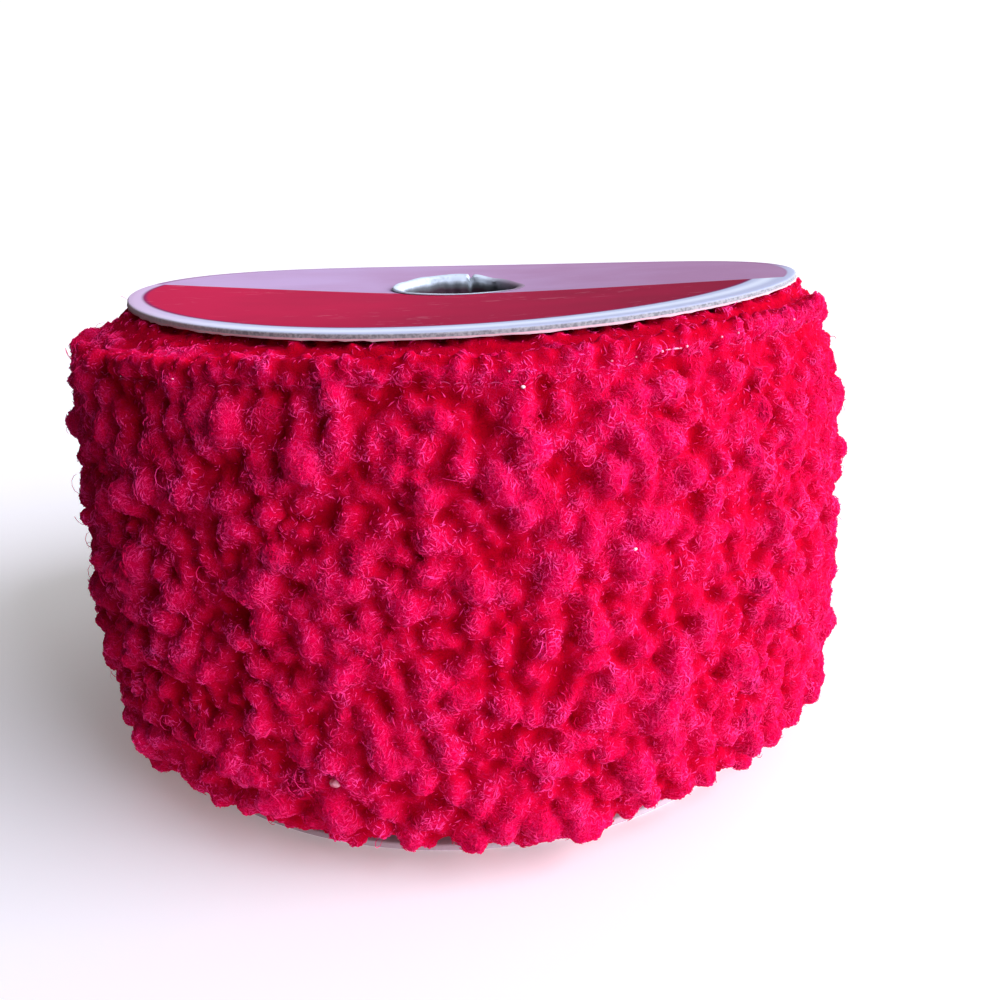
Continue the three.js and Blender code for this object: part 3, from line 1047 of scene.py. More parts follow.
def fibre_tree(name, shapes, density, clumping, floor):
    """Fibres on the skin: more on high ground and in tufts, and a small share, floor, anywhere else."""
    tree, given = shape_tree(name, seed=1, density=density)
    rise = stored(tree, "rise")
    high = step_at(tree, rise, 0.5, 0.25)
    tuft = step_at(tree, cloud(tree, None, TUFT_SCALE, 1.0), 0.5, 0.2 * clumping)
    share = calc(tree, "MULTIPLY_ADD", calc(tree, "MULTIPLY", high, tuft), 1 - floor, floor)
    seen = calc(tree, "GREATER_THAN", rise, 0.0)
    amount = calc(tree, "MULTIPLY", calc(tree, "MULTIPLY", share, seen), given["density"])
    spread = add(tree, "GeometryNodeDistributePointsOnFaces", {"distribute_method": "RANDOM"},
                 Mesh=given["Geometry"], Density=amount, Seed=given["seed"])
    placed = picked(tree, spread.outputs["Points"], shapes, FIBRE_SIZES, FIBRE_TILT, given["seed"],
                    spread.outputs["Rotation"], swirl=SWIRL_SCALE)
    bare = add(tree, "GeometryNodeRemoveAttribute", Geometry=placed, Name="rise").outputs[0]
    end_tree(tree, bare, FIBRE)
    return tree


DASHES = fibre_tree("dashes", dashes, 7200000.0, 1.0, 0.1)
FUZZ = fibre_tree("short fibres", short_fibres, 450000.0, 1.0, 0.05)
WISPS = fibre_tree("long wisps", long_fibres, 40000.0, 2.0, 0.1)
fuzz_pieces = []
for index, pile in enumerate(pile_pieces):
    parts = [grown("fuzz", pile.data, [(kind, {"seed": 31 + index})]) for kind in (DASHES, FUZZ, WISPS)]
    mesh = joined(parts)
    keep_clear(mesh)
    fuzz_pieces.append(new_piece(f"fuzz_{index + 1}", mesh, FIBRE, smooth=False))
    print(fuzz_pieces[-1].name, len(mesh.polygons), "faces")

# %% [markdown]
# ## The ribbon's backing
# Behind the pile is a knitted cloth, 63.5 mm wide, that winds in from the wall to the core. None of it can
# be seen in the picture, but it is the ribbon, so it is built as one closed sheet that follows a spiral: the
# last turn lies right behind the pile, and each turn inside it takes more of the core's round shape.

# %% Wind the backing
CORE_RADIUS = 10.1
BACKING = 0.9
BEHIND_PILE = 2.0
FIRST_PITCH = 2.4
TURNS = 13
TURN_STEPS = 60
ACROSS = 8
RAY_START = 0.09
OPEN_RADIUS = 57.0
WALL_FOOT = 9
WALL_SPAN = 50
BESIDE_CORE = 1.2
INNER_TOP = 62.0
OUTWARD_LIMIT = 1.5


def from_outside(skin, azimuth, height):
    """A level ray towards the core's axis: where it meets a skin, and its direction."""
    angle = math.radians(azimuth - 90)
    inward = Vector((-math.cos(angle), -math.sin(angle), 0))
    start = Vector((0, 0, height * MM)) - inward * RAY_START
    return skin.ray_cast(start, inward)[0], inward


def wall_radius(turn, height):
    """The radius of the ironed wall at a turn past the cut end and a height in mm."""
    hit, _ = from_outside(ironed_tree, turn + CUT_END, height)
    return math.hypot(hit.x, hit.y) / MM if hit else OPEN_RADIUS


def bridge(form, rings):
    """Faces between each ring of points and the next."""
    for one, two in zip(rings, rings[1:]):
        for k in range(len(one)):
            n = (k + 1) % len(one)
            form.faces.new((one[k], one[n], two[n], two[k]))


def wound_sheet():
    """A spiral strip with a front and a back face, joined along its edges. The last turn has the wall's own
    outline, and the turns inside it take a share of it that shrinks with the radius."""
    heights = [WALL_FOOT + WALL_SPAN * j / ACROSS for j in range(ACROSS + 1)]
    wall = [[wall_radius(360 * i / TURN_STEPS + 0.01, height) for height in heights]
            for i in range(TURN_STEPS)]
    outer = float(np.mean(wall)) - BEHIND_PILE
    pitch = (outer - FIRST_PITCH - CORE_RADIUS - BESIDE_CORE) / (TURNS - 1)
    rows = []
    form = bmesh.new()
    for step in range(TURNS * TURN_STEPS + 1):
        wound = step / TURN_STEPS
        turn = -360 * wound % 360
        depth = FIRST_PITCH * wound if wound < 1 else FIRST_PITCH + pitch * (wound - 1)
        shape = (outer - depth) / outer
        under_hem = crest_at(turn)[1] - 4.0
        top = float(np.interp(wound, (0, 0.98, 1.1), (under_hem, under_hem, INNER_TOP)))
        low = float(np.interp(wound, (1, 1.2, 2, 2.2), (9.0, 6.0, 6.0, 2.2)))
        ring = []
        for j in range(ACROSS + 1):
            own = wall[-step % TURN_STEPS][j] - BEHIND_PILE + FIRST_PITCH * (wound if wound < 1 else 1)
            radius = outer - depth + (own - outer - FIRST_PITCH / 2) * shape
            ring.append((min(radius, outer + OUTWARD_LIMIT - depth), low + (top - low) * j / ACROSS))
        outside = [form.verts.new(polar(r, turn + CUT_END, h)) for r, h in ring]
        inside = [form.verts.new(polar(r - BACKING, turn + CUT_END, h)) for r, h in reversed(ring)]
        rows.append(outside + inside)
    bridge(form, rows)
    for cap in (rows[0], rows[-1]):
        for j in range(ACROSS):
            form.faces.new((cap[j], cap[j + 1], cap[-2 - j], cap[-1 - j]))
    return mesh_of(form, "ribbon_cloth", outwards=True)


sheet_shape = wound_sheet()
print("ribbon_cloth:", TURNS, "turns,", len(sheet_shape.polygons), "faces")

# %% [markdown]
# ## Knit
# The pile's ground is a warp knit. Up close it is a cloth of fine level ribs, so a wave texture along the
# height draws them, and a noise breaks them up.

# %% Knit material
KNIT_DEEP = (0.25, 0.001, 0.01, 1)
KNIT_RED = (0.55, 0.003, 0.04, 1)


def knit_material():
    """Fine ribs of warp knit: a wave across the sheet, broken up by a noise."""
    material, tree, shader, place = wool("knitted_back", 0.9, 0.3, (1, 0.1, 0.25, 1))
    ribs = add(tree, "ShaderNodeTexWave", {"bands_direction": "Z"}, Vector=place, Scale=420.0, Distortion=2.0)
    both = calc(tree, "MULTIPLY", ribs.outputs["Fac"], cloud(tree, place, 900.0, 2.0))
    colour = ramp(tree, both, [(0.0, KNIT_DEEP), (1.0, KNIT_RED)])
    fill(tree, shader, Base_Color=colour, Normal=bump(tree, both, 0.6, 0.2))
    return material


cloth = new_piece("ribbon_cloth", sheet_shape, knit_material())
print("backing material:", cloth.data.materials[0].name)

# %% [markdown]
# ## The line of the stitches
# The hem is sewn with a clear nylon thread, a good 3 mm below the edge. It sinks into the pile, so only
# short lengths and a few hard glints show. The row starts as a line of points that is dropped onto the
# finished pile with ray casts, one for every degree round the spool.

# %% Drop a line onto the pile
STITCH_DEPTH = 3.5
STITCH_SUNK = 0.02


def skin_of(pieces):
    """One search tree over several pieces, for rays to hit."""
    points = []
    faces = []
    for piece in pieces:
        start = len(points)
        points += [vertex.co for vertex in piece.data.vertices]
        faces += [[start + i for i in face.vertices] for face in piece.data.polygons]
    return BVHTree.FromPolygons(points, faces)


pile_tree = skin_of(pile_pieces)


def on_pile(azimuth, height, proud=0.0):
    """The point of the pile that faces outwards at an azimuth and a height, in metres."""
    hit, inward = from_outside(pile_tree, azimuth, height)
    return hit - inward * proud * MM if hit else None


def stitch_line():
    """A polyline on the pile along the hem, as loose edges."""
    points = []
    for degree in range(360):
        turn = degree + 0.5
        spot = on_pile(turn + CUT_END, crest_at(turn)[1] - STITCH_DEPTH, -STITCH_SUNK)
        if spot:
            points.append(spot)
    mesh = bpy.data.meshes.new("stitch_line")
    mesh.from_pydata([tuple(p) for p in points], [(i, i + 1) for i in range(len(points) - 1)], [])
    return mesh


hem_line = stitch_line()
print("hem line:", len(hem_line.vertices), "points")

# %% [markdown]
# ## Hem stitches
# One stitch is a short bowed thread, thin at both ends. Geometry Nodes walk along the line and set a stitch
# on every step, turned along the line and twisted a little, because no two stitches of a hem lie alike.

# %% Sew the hem
STITCH_STEP = 1.9
STITCH_LENGTH = 1.5
THREAD = 0.12
THREAD_SIDES = 5
THREAD_RINGS = 5
THIN_END = 0.45
BOW = 0.35


def thread_stitch():
    """One stitch: a short bowed thread, thin at both ends, lying along X."""
    form = bmesh.new()
    rings = []
    end = THREAD_RINGS - 1
    for i in range(THREAD_RINGS):
        x = (i / end - 0.5) * STITCH_LENGTH
        thick = THREAD / 2 * (1.0 if 0 < i < end else THIN_END)
        rise = 0.02 - BOW * x * x
        turns = [k * math.tau / THREAD_SIDES for k in range(THREAD_SIDES)]
        round_it = [Vector((x, math.cos(t) * thick, rise + math.sin(t) * thick)) * MM for t in turns]
        rings.append([form.verts.new(place) for place in round_it])
    bridge(form, rings)
    form.faces.new(rings[0])
    form.faces.new(rings[-1])
    return mesh_of(form, "stitch", outwards=True)


def thread_material(name, deep, pale, scale, detail=2.0, stops=(0.35, 0.65), **shine):
    """Thread or lint in two tones that a noise mixes, with its own shine."""
    material, tree, shader, place = new_material(name)
    colour = ramp(tree, cloud(tree, place, scale, detail), zip(stops, (deep, pale)))
    fill(tree, shader, Base_Color=colour, **shine)
    return material


def stitch_tree(stitch, thread):
    """Stitches along a line, at a given step."""
    tree, given = shape_tree("hem stitches", step=STITCH_STEP * MM)
    line = add(tree, "GeometryNodeMeshToCurve", Mesh=given["Geometry"]).outputs[0]
    steps = add(tree, "GeometryNodeCurveToPoints", {"mode": "LENGTH"}, Curve=line, Length=given["step"])
    along = add(tree, "FunctionNodeAlignRotationToVector", {"axis": "X"},
                Vector=steps.outputs["Tangent"]).outputs[0]
    shape = add(tree, "GeometryNodeObjectInfo", Object=stitch)
    turn = add(tree, "FunctionNodeRandomValue", {"data_type": "FLOAT"}, _2=-0.5, _3=0.5, Seed=3).outputs[1]
    euler = add(tree, "ShaderNodeCombineXYZ", X=turn, Z=turn).outputs[0]
    twist = add(tree, "FunctionNodeEulerToRotation", _0=euler).outputs[0]
    facing = add(tree, "FunctionNodeRotateRotation", {"rotation_space": "LOCAL"}, _0=along, _1=twist)
    placed = add(tree, "GeometryNodeInstanceOnPoints", Points=steps.outputs[0],
                 Instance=shape.outputs["Geometry"], Rotation=facing.outputs[0])
    end_tree(tree, placed.outputs[0], thread)
    return tree


THREAD_COAT = thread_material(
    "clear_thread", (0.62, 0.004, 0.09, 1), (0.95, 0.1, 0.36, 1), 500.0, 1.0, (0.4, 0.66),
    Roughness=0.4, Specular_IOR_Level=0.12,
)
STITCHES = stitch_tree(bpy.data.objects.new("stitch", thread_stitch()), THREAD_COAT)
stitches = new_piece("hem_stitches", grown("hem_stitches", hem_line, [(STITCHES, {})]), THREAD_COAT)
print("hem_stitches:", len(stitches.data.polygons), "faces")

# %% [markdown]
# ## Specks on the pile
# A few small things break the red: pinkish glints where the thread turns, two hard white glints, and one
# bead of undyed lint near the foot. They are tiny lumps, set on the finished pile by azimuth and height; the
# pale lumps of the glints are painted highlights of the clear thread.

# %% Glints and a bead of lint
# Painted highlights of the clear thread, as pale lumps; one with a reach is a length of thread.
GLINTS = [
    {"azimuth": -46.6, "height": 62.4, "size": 0.1},
    {"azimuth": -42.3, "height": 62.9, "size": 0.12},
    {"azimuth": -35.2, "height": 63.3, "size": 0.11},
    {"azimuth": 4.8, "height": 64.7, "size": 0.12},
    {"azimuth": 16.8, "height": 64.9, "size": 0.12},
    {"azimuth": 20.1, "height": 65.0, "size": 0.1},
    {"azimuth": 23.6, "height": 65.3, "size": 0.15},
    {"azimuth": 26.9, "height": 65.6, "size": 0.15},
    {"azimuth": 25.2, "height": 65.45, "size": 0.1, "reach": 13},
    {"azimuth": 47.9, "height": 66.5, "size": 0.14},
    {"azimuth": 32.5, "height": 66.1, "size": 0.14},
    {"azimuth": 35.2, "height": 66.3, "size": 0.15},
]
# Two painted white highlights, as pale lumps.
WHITE_GLINTS = [{"azimuth": 6.3, "height": 62.9, "size": 0.21}, {"azimuth": 18.0, "height": 44.0, "size": 0.19}]
BEAD = {"azimuth": -17.1, "height": 14.9, "size": 0.62}


def speck_mesh(spots, proud):
    """Small uneven lumps on the pile. A spot with a reach is a length of thread along the hem."""
    form = bmesh.new()
    for spot in spots:
        size = spot["size"]
        place = on_pile(spot["azimuth"], spot["height"], proud * size)
        turn = Matrix.Rotation(math.radians(spot["azimuth"]), 4, "Z")
        shape = Matrix.Diagonal((spot.get("reach", 1.25) * size, size * 0.9, size, 1))
        ball(form, MM, Matrix.Translation(place) @ turn @ shape)
    for vertex in form.verts:
        vertex.co += wobble(vertex.co / MM * 3) * 0.04 * MM
    return mesh_of(form, "glints")


glints = new_piece("thread_glints", speck_mesh(GLINTS, 0.6), thread_material(
    "thread_glint", (0.9, 0.2, 0.36, 1), (1, 0.6, 0.72, 1), 900.0, Roughness=0.25,
))
white_glints = new_piece("thread_knots", speck_mesh(WHITE_GLINTS, 0.6), thread_material(
    "thread_white_glint", (0.9, 0.55, 0.65, 1), (1, 0.9, 0.93, 1), 900.0, Roughness=0.25,
))
bead = new_piece("lint_bead", speck_mesh([BEAD], 0.35), thread_material(
    "lint", (0.6, 0.05, 0.12, 1), (0.9, 0.42, 0.5, 1), 1500.0, Roughness=0.25,
))
print("specks:", len(GLINTS), "glints,", len(WHITE_GLINTS), "knots and a bead of lint")

# %% [markdown]
# ## The cards
# The discs are die-cut from card. The CAD gives their place, their warp and their thickness, and this finer
# mesh adds what the cutting does: the upper edge is rounded over, and the lower edge carries a ragged burr.
# The outline of the section runs over the printed face, round the edge, back underneath and up the hole.

# %% Cut the cards
CARD_COLUMNS = 288
HOLE_RADIUS = 10.5
EDGE_ROUND = 0.28
FACE_SHARES = [0, 0.02, 0.06, 0.12, 0.2, 0.3, 0.4, 0.5, 0.6, 0.7, 0.8, 0.88, 0.94, 0.975]
NICK_AZIMUTH = -21.1
NICK_DEPTH = 0.22
NICK_WIDTH = 0.45
ROUND_STEPS = 5


def edge_wear(azimuth, rim, burr, seed):
    """What the cutting left at one place of the rim: a nick, a fine noise, and the tear of the burr."""
    from_nick = (azimuth - NICK_AZIMUTH + 180) % 360 - 180
    nick = NICK_DEPTH * math.exp(-((from_nick / NICK_WIDTH) ** 2)) if burr else 0.0
    rag = [noise.noise(Vector((rim.x * f, rim.y * f, seed))) for f in (0.35, 1.3, 3.1)]
    tear = burr * (0.5 * abs(rag[0]) + 0.3 * rag[1] + 0.35 * max(0.0, rag[2]))
    return nick, rag[1], tear


def card_section(azimuth, centre, burr, seed):
    """The outline of the card at an azimuth. Each point has its place in mm, how far it is below the printed
    face, and a mark: 1 where it is printed, 0 where the card is bare, and less than 0 on the burr."""
    angle = math.radians(azimuth - 90)
    out = Vector((math.cos(angle), math.sin(angle)))
    hole = out * HOLE_RADIUS
    rim = Vector(centre) + out * CARD_RIM
    nick, rag, tear = edge_wear(azimuth, rim, burr, seed)
    section = [(hole.lerp(rim, share), 0.0, 1.0) for share in FACE_SHARES]
    for step in range(ROUND_STEPS):
        turn = math.pi / 2 * step / (ROUND_STEPS - 1)
        inset = EDGE_ROUND * (1 - math.sin(turn)) + nick
        mark = 1.0 if step < 2 else 0.5 if step < 3 else 0.0
        section.append((rim - out * inset, EDGE_ROUND * (1 - math.cos(turn)), mark))
    section.append((rim + out * (0.02 + 0.05 * rag - nick), CARD_THICKNESS * 0.62, 0.0))
    section.append((rim + out * (0.05 + 0.2 * tear - nick), CARD_THICKNESS * 0.86, -burr))
    section.append((rim + out * (0.02 + 0.35 * tear - nick), CARD_THICKNESS + 0.25 * tear, -burr))
    section.append((rim - out * 0.3, CARD_THICKNESS, 0.0))
    section += [(hole.lerp(rim, share), CARD_THICKNESS, 0.0) for share in reversed(FACE_SHARES[::3])]
    return section


def card_mesh(name, centre, top_at, burr, seed):
    """A card disc with a hole, a rounded upper edge and a ragged lower one."""
    form = bmesh.new()
    printed = form.verts.layers.float.new("printed")
    rings = []
    for column in range(CARD_COLUMNS):
        ring = []
        for spot, drop, mark in card_section(360 * column / CARD_COLUMNS, centre, burr, seed):
            vertex = form.verts.new(Vector((spot.x, spot.y, top_at(spot.x, spot.y) - drop)) * MM)
            vertex[printed] = mark
            ring.append(vertex)
        rings.append(ring)
    bridge(form, rings + rings[:1])
    return mesh_of(form, name, outwards=True)


card_meshes = {
    "card_top": card_mesh("card_top", TOP_CENTRE, lambda x, y: float(card_top(x, y)), 1.0, 2.0),
    "card_bottom": card_mesh("card_bottom", BOTTOM_CENTRE, lambda x, y: CARD_THICKNESS, 0.0, 5.0),
}
print("cards:", {name: len(mesh.polygons) for name, mesh in card_meshes.items()})

# %% [markdown]
# ## Raw card
# Both discs are grey board inside. It shows at their edges, and through the thin coat of the bottom disc. Two
# noises make it fibrous: a fine grain, and layers that are nine times thinner than they are wide. A few
# helpers measure distances from an upright line in mm, because a print is laid out in rings and lines.

# %% Raw card and the plain disc
RAW_CARD = (0.22, 0.23, 0.24, 1)
RAW_PALE = (0.42, 0.43, 0.44, 1)
PLAIN_PALE = (0.62, 0.56, 0.6, 1)
PLAIN_PINK = (0.66, 0.46, 0.52, 1)


def rest_of(tree, share):
    """What is left of 1."""
    return calc(tree, "SUBTRACT", 1.0, share)


def raw_card(tree, place):
    """Grey fibrous card: its colour, and the noise that its bump follows."""
    fine = calc(tree, "MULTIPLY", cloud(tree, place, 2600.0, 3.0), 0.75)
    ply = add(tree, "ShaderNodeMapping", Vector=place, Scale=(1, 1, 9)).outputs[0]
    fibres = calc(tree, "ADD", fine, calc(tree, "MULTIPLY", cloud(tree, ply, 420.0, 3.0), 0.25))
    return blend(tree, step_at(tree, fibres, 0.5, 0.14), RAW_CARD, RAW_PALE), fibres


def distance_from(tree, place, x, y):
    """How far a place is from an upright line through x and y in mm."""
    flat = add(tree, "ShaderNodeVectorMath", {"operation": "MULTIPLY"}, _0=place, _1=(1, 1, 0)).outputs[0]
    off = add(tree, "ShaderNodeVectorMath", {"operation": "SUBTRACT"}, _0=flat, _1=(x * MM, y * MM, 0))
    return add(tree, "ShaderNodeVectorMath", {"operation": "LENGTH"}, _0=off.outputs[0]).outputs["Value"]


def ring_at(tree, radius, middle, width):
    """1 on a ring of a given radius and half width in mm, fading to 0 on both sides."""
    off = calc(tree, "ABSOLUTE", calc(tree, "SUBTRACT", radius, middle * MM))
    return rest_of(tree, step_at(tree, off, width * MM, width * MM))


def plain_card_material():
    """Uncoated grey-white card, pinkish where the dye rubbed off."""
    material, tree, shader, place = new_material("plain_card_face")
    raw, fibres = raw_card(tree, place)
    rubbed = step_at(tree, cloud(tree, place, 110.0, 3.0), 0.5, 0.2)
    pale = blend(tree, rubbed, PLAIN_PALE, PLAIN_PINK)
    colour = blend(tree, calc(tree, "MULTIPLY", fibres, 0.4), pale, raw)
    fill(tree, shader, Base_Color=colour, Normal=bump(tree, fibres, 0.5, 0.06), Roughness=0.75,
         Specular_IOR_Level=0.2)
    return material


PLAIN = plain_card_material()
print("plain disc:", PLAIN.name)

# %% [markdown]
# ## The inks
# The top face is printed in two colours that meet on a slanting line in front of the hole: red towards us,
# with a pale margin along the rim, and lilac behind. Both are painted a little darker and pinker towards the
# right, which is painted shade of the one-sided light. All of it is drawn from Object coordinates, in metres.

# %% Mix the inks
CHORD_SLOPE = 0.29
CHORD_OFFSET = 8.36
MARGIN_CENTRE = Vector((-0.75, 0.85))
MARGIN_RADIUS = 47.05
PRINT_RED = (0.57, 0.023, 0.082, 1)
# Painted shade: the darker tones that the inks take towards the right.
PRINT_RED_SHADED = (0.3, 0.018, 0.054, 1)
LILAC = (0.57, 0.415, 0.65, 1)
LILAC_SHADED = (0.45, 0.255, 0.42, 1)
MARGIN = (0.54, 0.6, 0.78, 1)
# Painted highlight along the middle of the margin.
MARGIN_HIGHLIGHT = (0.8, 0.88, 1.0, 1)
MARGIN_LILAC = (0.66, 0.5, 0.7, 1)
# Dark line: ink between the red and the margin, and a painted reflection of the red pile at the lilac's rim.
INK_LINE_AND_REFLECTION = (0.2, 0.03, 0.13, 1)


def margin_colour(tree, place, far_left):
    """The pale margin, with a painted highlight along its middle, and a touch of lilac at the far left."""
    # Painted highlight: a brighter ring along the margin's middle.
    shine = ring_at(tree, distance_from(tree, place, *MARGIN_CENTRE), MARGIN_RADIUS + 2.3, 0.9)
    return blend(tree, far_left, blend(tree, shine, MARGIN, MARGIN_HIGHLIGHT), MARGIN_LILAC)


def front_ink(tree, place, right_shade, pale):
    """Red, painted darker towards the right as painted shade, with the pale margin along the rim and a
    dark line between them.
    """
    radius = distance_from(tree, place, *MARGIN_CENTRE)
    red = blend(tree, right_shade, PRINT_RED, PRINT_RED_SHADED)
    border = blend(tree, step_at(tree, radius, MARGIN_RADIUS * MM, 0.15 * MM), red, pale)
    line = ring_at(tree, radius, MARGIN_RADIUS - 0.1, 0.3)
    return blend(tree, calc(tree, "MULTIPLY", line, 0.75), border, INK_LINE_AND_REFLECTION)


def back_ink(tree, place, right_shade, pale, slanted, right):
    """Lilac, painted darker towards the right as painted shade, with a dark line at the rim that is a painted
    reflection of the red pile, and a narrow pale border at its right end.
    """
    radius = distance_from(tree, place, *TOP_CENTRE)
    # Painted reflection: the dark line at the lilac's rim.
    line = ring_at(tree, radius, CARD_RIM - 0.3, 0.8)
    lined = blend(tree, calc(tree, "MULTIPLY", line, 0.6), blend(tree, right_shade, LILAC, LILAC_SHADED), INK_LINE_AND_REFLECTION)
    near = rest_of(tree, step_at(tree, slanted, 12 * MM, 9 * MM))
    right_end = calc(tree, "MULTIPLY", near, step_at(tree, right, 30 * MM, 8 * MM))
    rim = step_at(tree, radius, (CARD_RIM - 1.3) * MM, 0.2 * MM)
    return blend(tree, calc(tree, "MULTIPLY", rim, right_end), lined, pale)


print("inks:", "red", [round(c, 2) for c in PRINT_RED[:3]], "and lilac", [round(c, 2) for c in LILAC[:3]])

# %% [markdown]
# ## The printed face
# The print carries pale scuffs and specks of dust, and it ends where the edge rounds over. The mesh says
# where: its marks are 1 on the coat, 0 on the raw edge, and less on the burr that the cutting left.

# %% Print the top disc
SCUFF_PINK = (0.8, 0.5, 0.62, 1)
# Painted light: the raw edge is made lighter towards the far left.
RAW_PAINTED_LIGHT = (0.95, 0.84, 0.86, 1)
# The burr's pale pink: the torn card's own colour, with a painted highlight.
BURR_PINK_AND_HIGHLIGHT = (0.8, 0.52, 0.56, 1)


def worn_marks(tree, place):
    """Pale scuffs in patches, and a few specks of dust."""
    streaks = add(tree, "ShaderNodeMapping", Vector=place, Scale=(1, 2.4, 1)).outputs[0]
    scuff = step_at(tree, cloud(tree, streaks, 330.0, 5.0, 0.6), 0.64, 0.03)
    patch = step_at(tree, cloud(tree, place, 70.0, 1.0), 0.5, 0.08)
    worn = calc(tree, "MULTIPLY", scuff, patch)
    dust = add(tree, "ShaderNodeTexVoronoi", Vector=place, Scale=110.0).outputs["Distance"]
    dot = rest_of(tree, step_at(tree, dust, 0.02, 0.008))
    return calc(tree, "MAXIMUM", calc(tree, "MULTIPLY", worn, 0.12), calc(tree, "MULTIPLY", dot, 0.5))


def print_material():
    """Two flat inks on coated card with painted shade towards the right, a pale margin with a painted
    highlight, scuffs, and the raw edge below it.
    """
    material, tree, shader, place = new_material("printed_face")
    right, back, _ = add(tree, "ShaderNodeSeparateXYZ", _0=place).outputs
    slanted = calc(tree, "ADD", calc(tree, "MULTIPLY", right, CHORD_SLOPE), back)
    far_left = rest_of(tree, step_at(tree, right, -36 * MM, 14 * MM))
    haze = cloud(tree, place, 60.0, 3.0)
    # Painted shade: the inks darken towards the right, with a noise in the amount.
    wander = calc(tree, "MULTIPLY", calc(tree, "SUBTRACT", haze, 0.5), 0.9)
    right_shade = calc(tree, "ADD", step_at(tree, right, 0.0, 45 * MM), wander, clamp=True)
    pale = margin_colour(tree, place, far_left)
    front = front_ink(tree, place, right_shade, pale)
    rear = back_ink(tree, place, right_shade, pale, slanted, right)
    ink = blend(tree, step_at(tree, slanted, -CHORD_OFFSET * MM, 0.12 * MM), front, rear)
    marks = worn_marks(tree, place)
    face = blend(tree, marks, ink, SCUFF_PINK)
    plain, fibres = raw_card(tree, place)
    # Painted light: the raw edge is lighter towards the far left.
    raw = blend(tree, calc(tree, "MULTIPLY", far_left, 0.8), plain, RAW_PAINTED_LIGHT)
    mark = stored(tree, "printed")
    coated = calc(tree, "MAXIMUM", mark, 0.0)
    torn = step_at(tree, calc(tree, "MULTIPLY", mark, -1.0), 0.45, 0.2)
    # The burr gets the torn card's pink, with a painted highlight.
    colour = blend(tree, coated, blend(tree, torn, raw, BURR_PINK_AND_HIGHLIGHT), face)
    rough = calc(tree, "SUBTRACT", 0.98, calc(tree, "MULTIPLY", haze, 0.2))
    relief = bump(tree, blend(tree, coated, fibres, marks), 0.5, 0.06)
    fill(tree, shader, Base_Color=colour, Roughness=rough, Normal=relief, Specular_IOR_Level=0.01)
    return material


PRINT = print_material()
cards = [
    new_piece("card_top", card_meshes["card_top"], PRINT),
    new_piece("card_bottom", card_meshes["card_bottom"], PLAIN),
]
print("card materials:", PRINT.name, PLAIN.name)

# %% [markdown]
# ## The lip of the core
# The core is a wound paper tube that stands in both holes. Its upper end was crimped over the card: it curls
# out on the left and at the back, and hardly shows in front. The height and the reach of the curl are a short
# table round the tube.

# %% Measure the lip
LIP = [
    {"azimuth": -180, "height": 1.5, "curl": 0.7},
    {"azimuth": -150, "height": 1.3, "curl": 0.6},
    {"azimuth": -120, "height": 0.85, "curl": 0.5},
    {"azimuth": -90, "height": 0.5, "curl": 0.45},
    {"azimuth": -45, "height": 0.28, "curl": 0.5},
    {"azimuth": 10, "height": 0.16, "curl": 0.5},
    {"azimuth": 60, "height": 0.1, "curl": 0.5},
    {"azimuth": 105, "height": 0.16, "curl": 0.6},
    {"azimuth": 140, "height": 0.7, "curl": 0.5},
    {"azimuth": 165, "height": 1.4, "curl": 0.7},
    {"azimuth": 180, "height": 1.5, "curl": 0.7},
]


def lip_at(azimuth, key):
    """A value of the lip's table, smoothly between its rows."""
    for one, two in zip(LIP, LIP[1:]):
        if azimuth <= two["azimuth"]:
            share = (azimuth - one["azimuth"]) / (two["azimuth"] - one["azimuth"])
            share = share * share * (3 - 2 * share)
            return one[key] + (two[key] - one[key]) * share
    return LIP[-1][key]


print("lip:", lip_at(-150, "height"), "mm high on the left and", lip_at(60, "height"), "mm on the right")

# %% [markdown]
# ## The paper core
# The wall of the tube is one closed outline, up outside, round the lip and down inside, that is drawn at
# many azimuths and joined all round. The lip is creased in one place, and folds in the paper come from noise
# that fades towards the foot.

# %% Roll the core
BORE_RADIUS = 9.1
CORE_FOOT = 0.5
LIP_THICKNESS = 0.6
CORE_GAP = 0.3
CORE_COLUMNS = 240
CREASE_AZIMUTH = 167.0
CREASE_WIDTH = 1.7


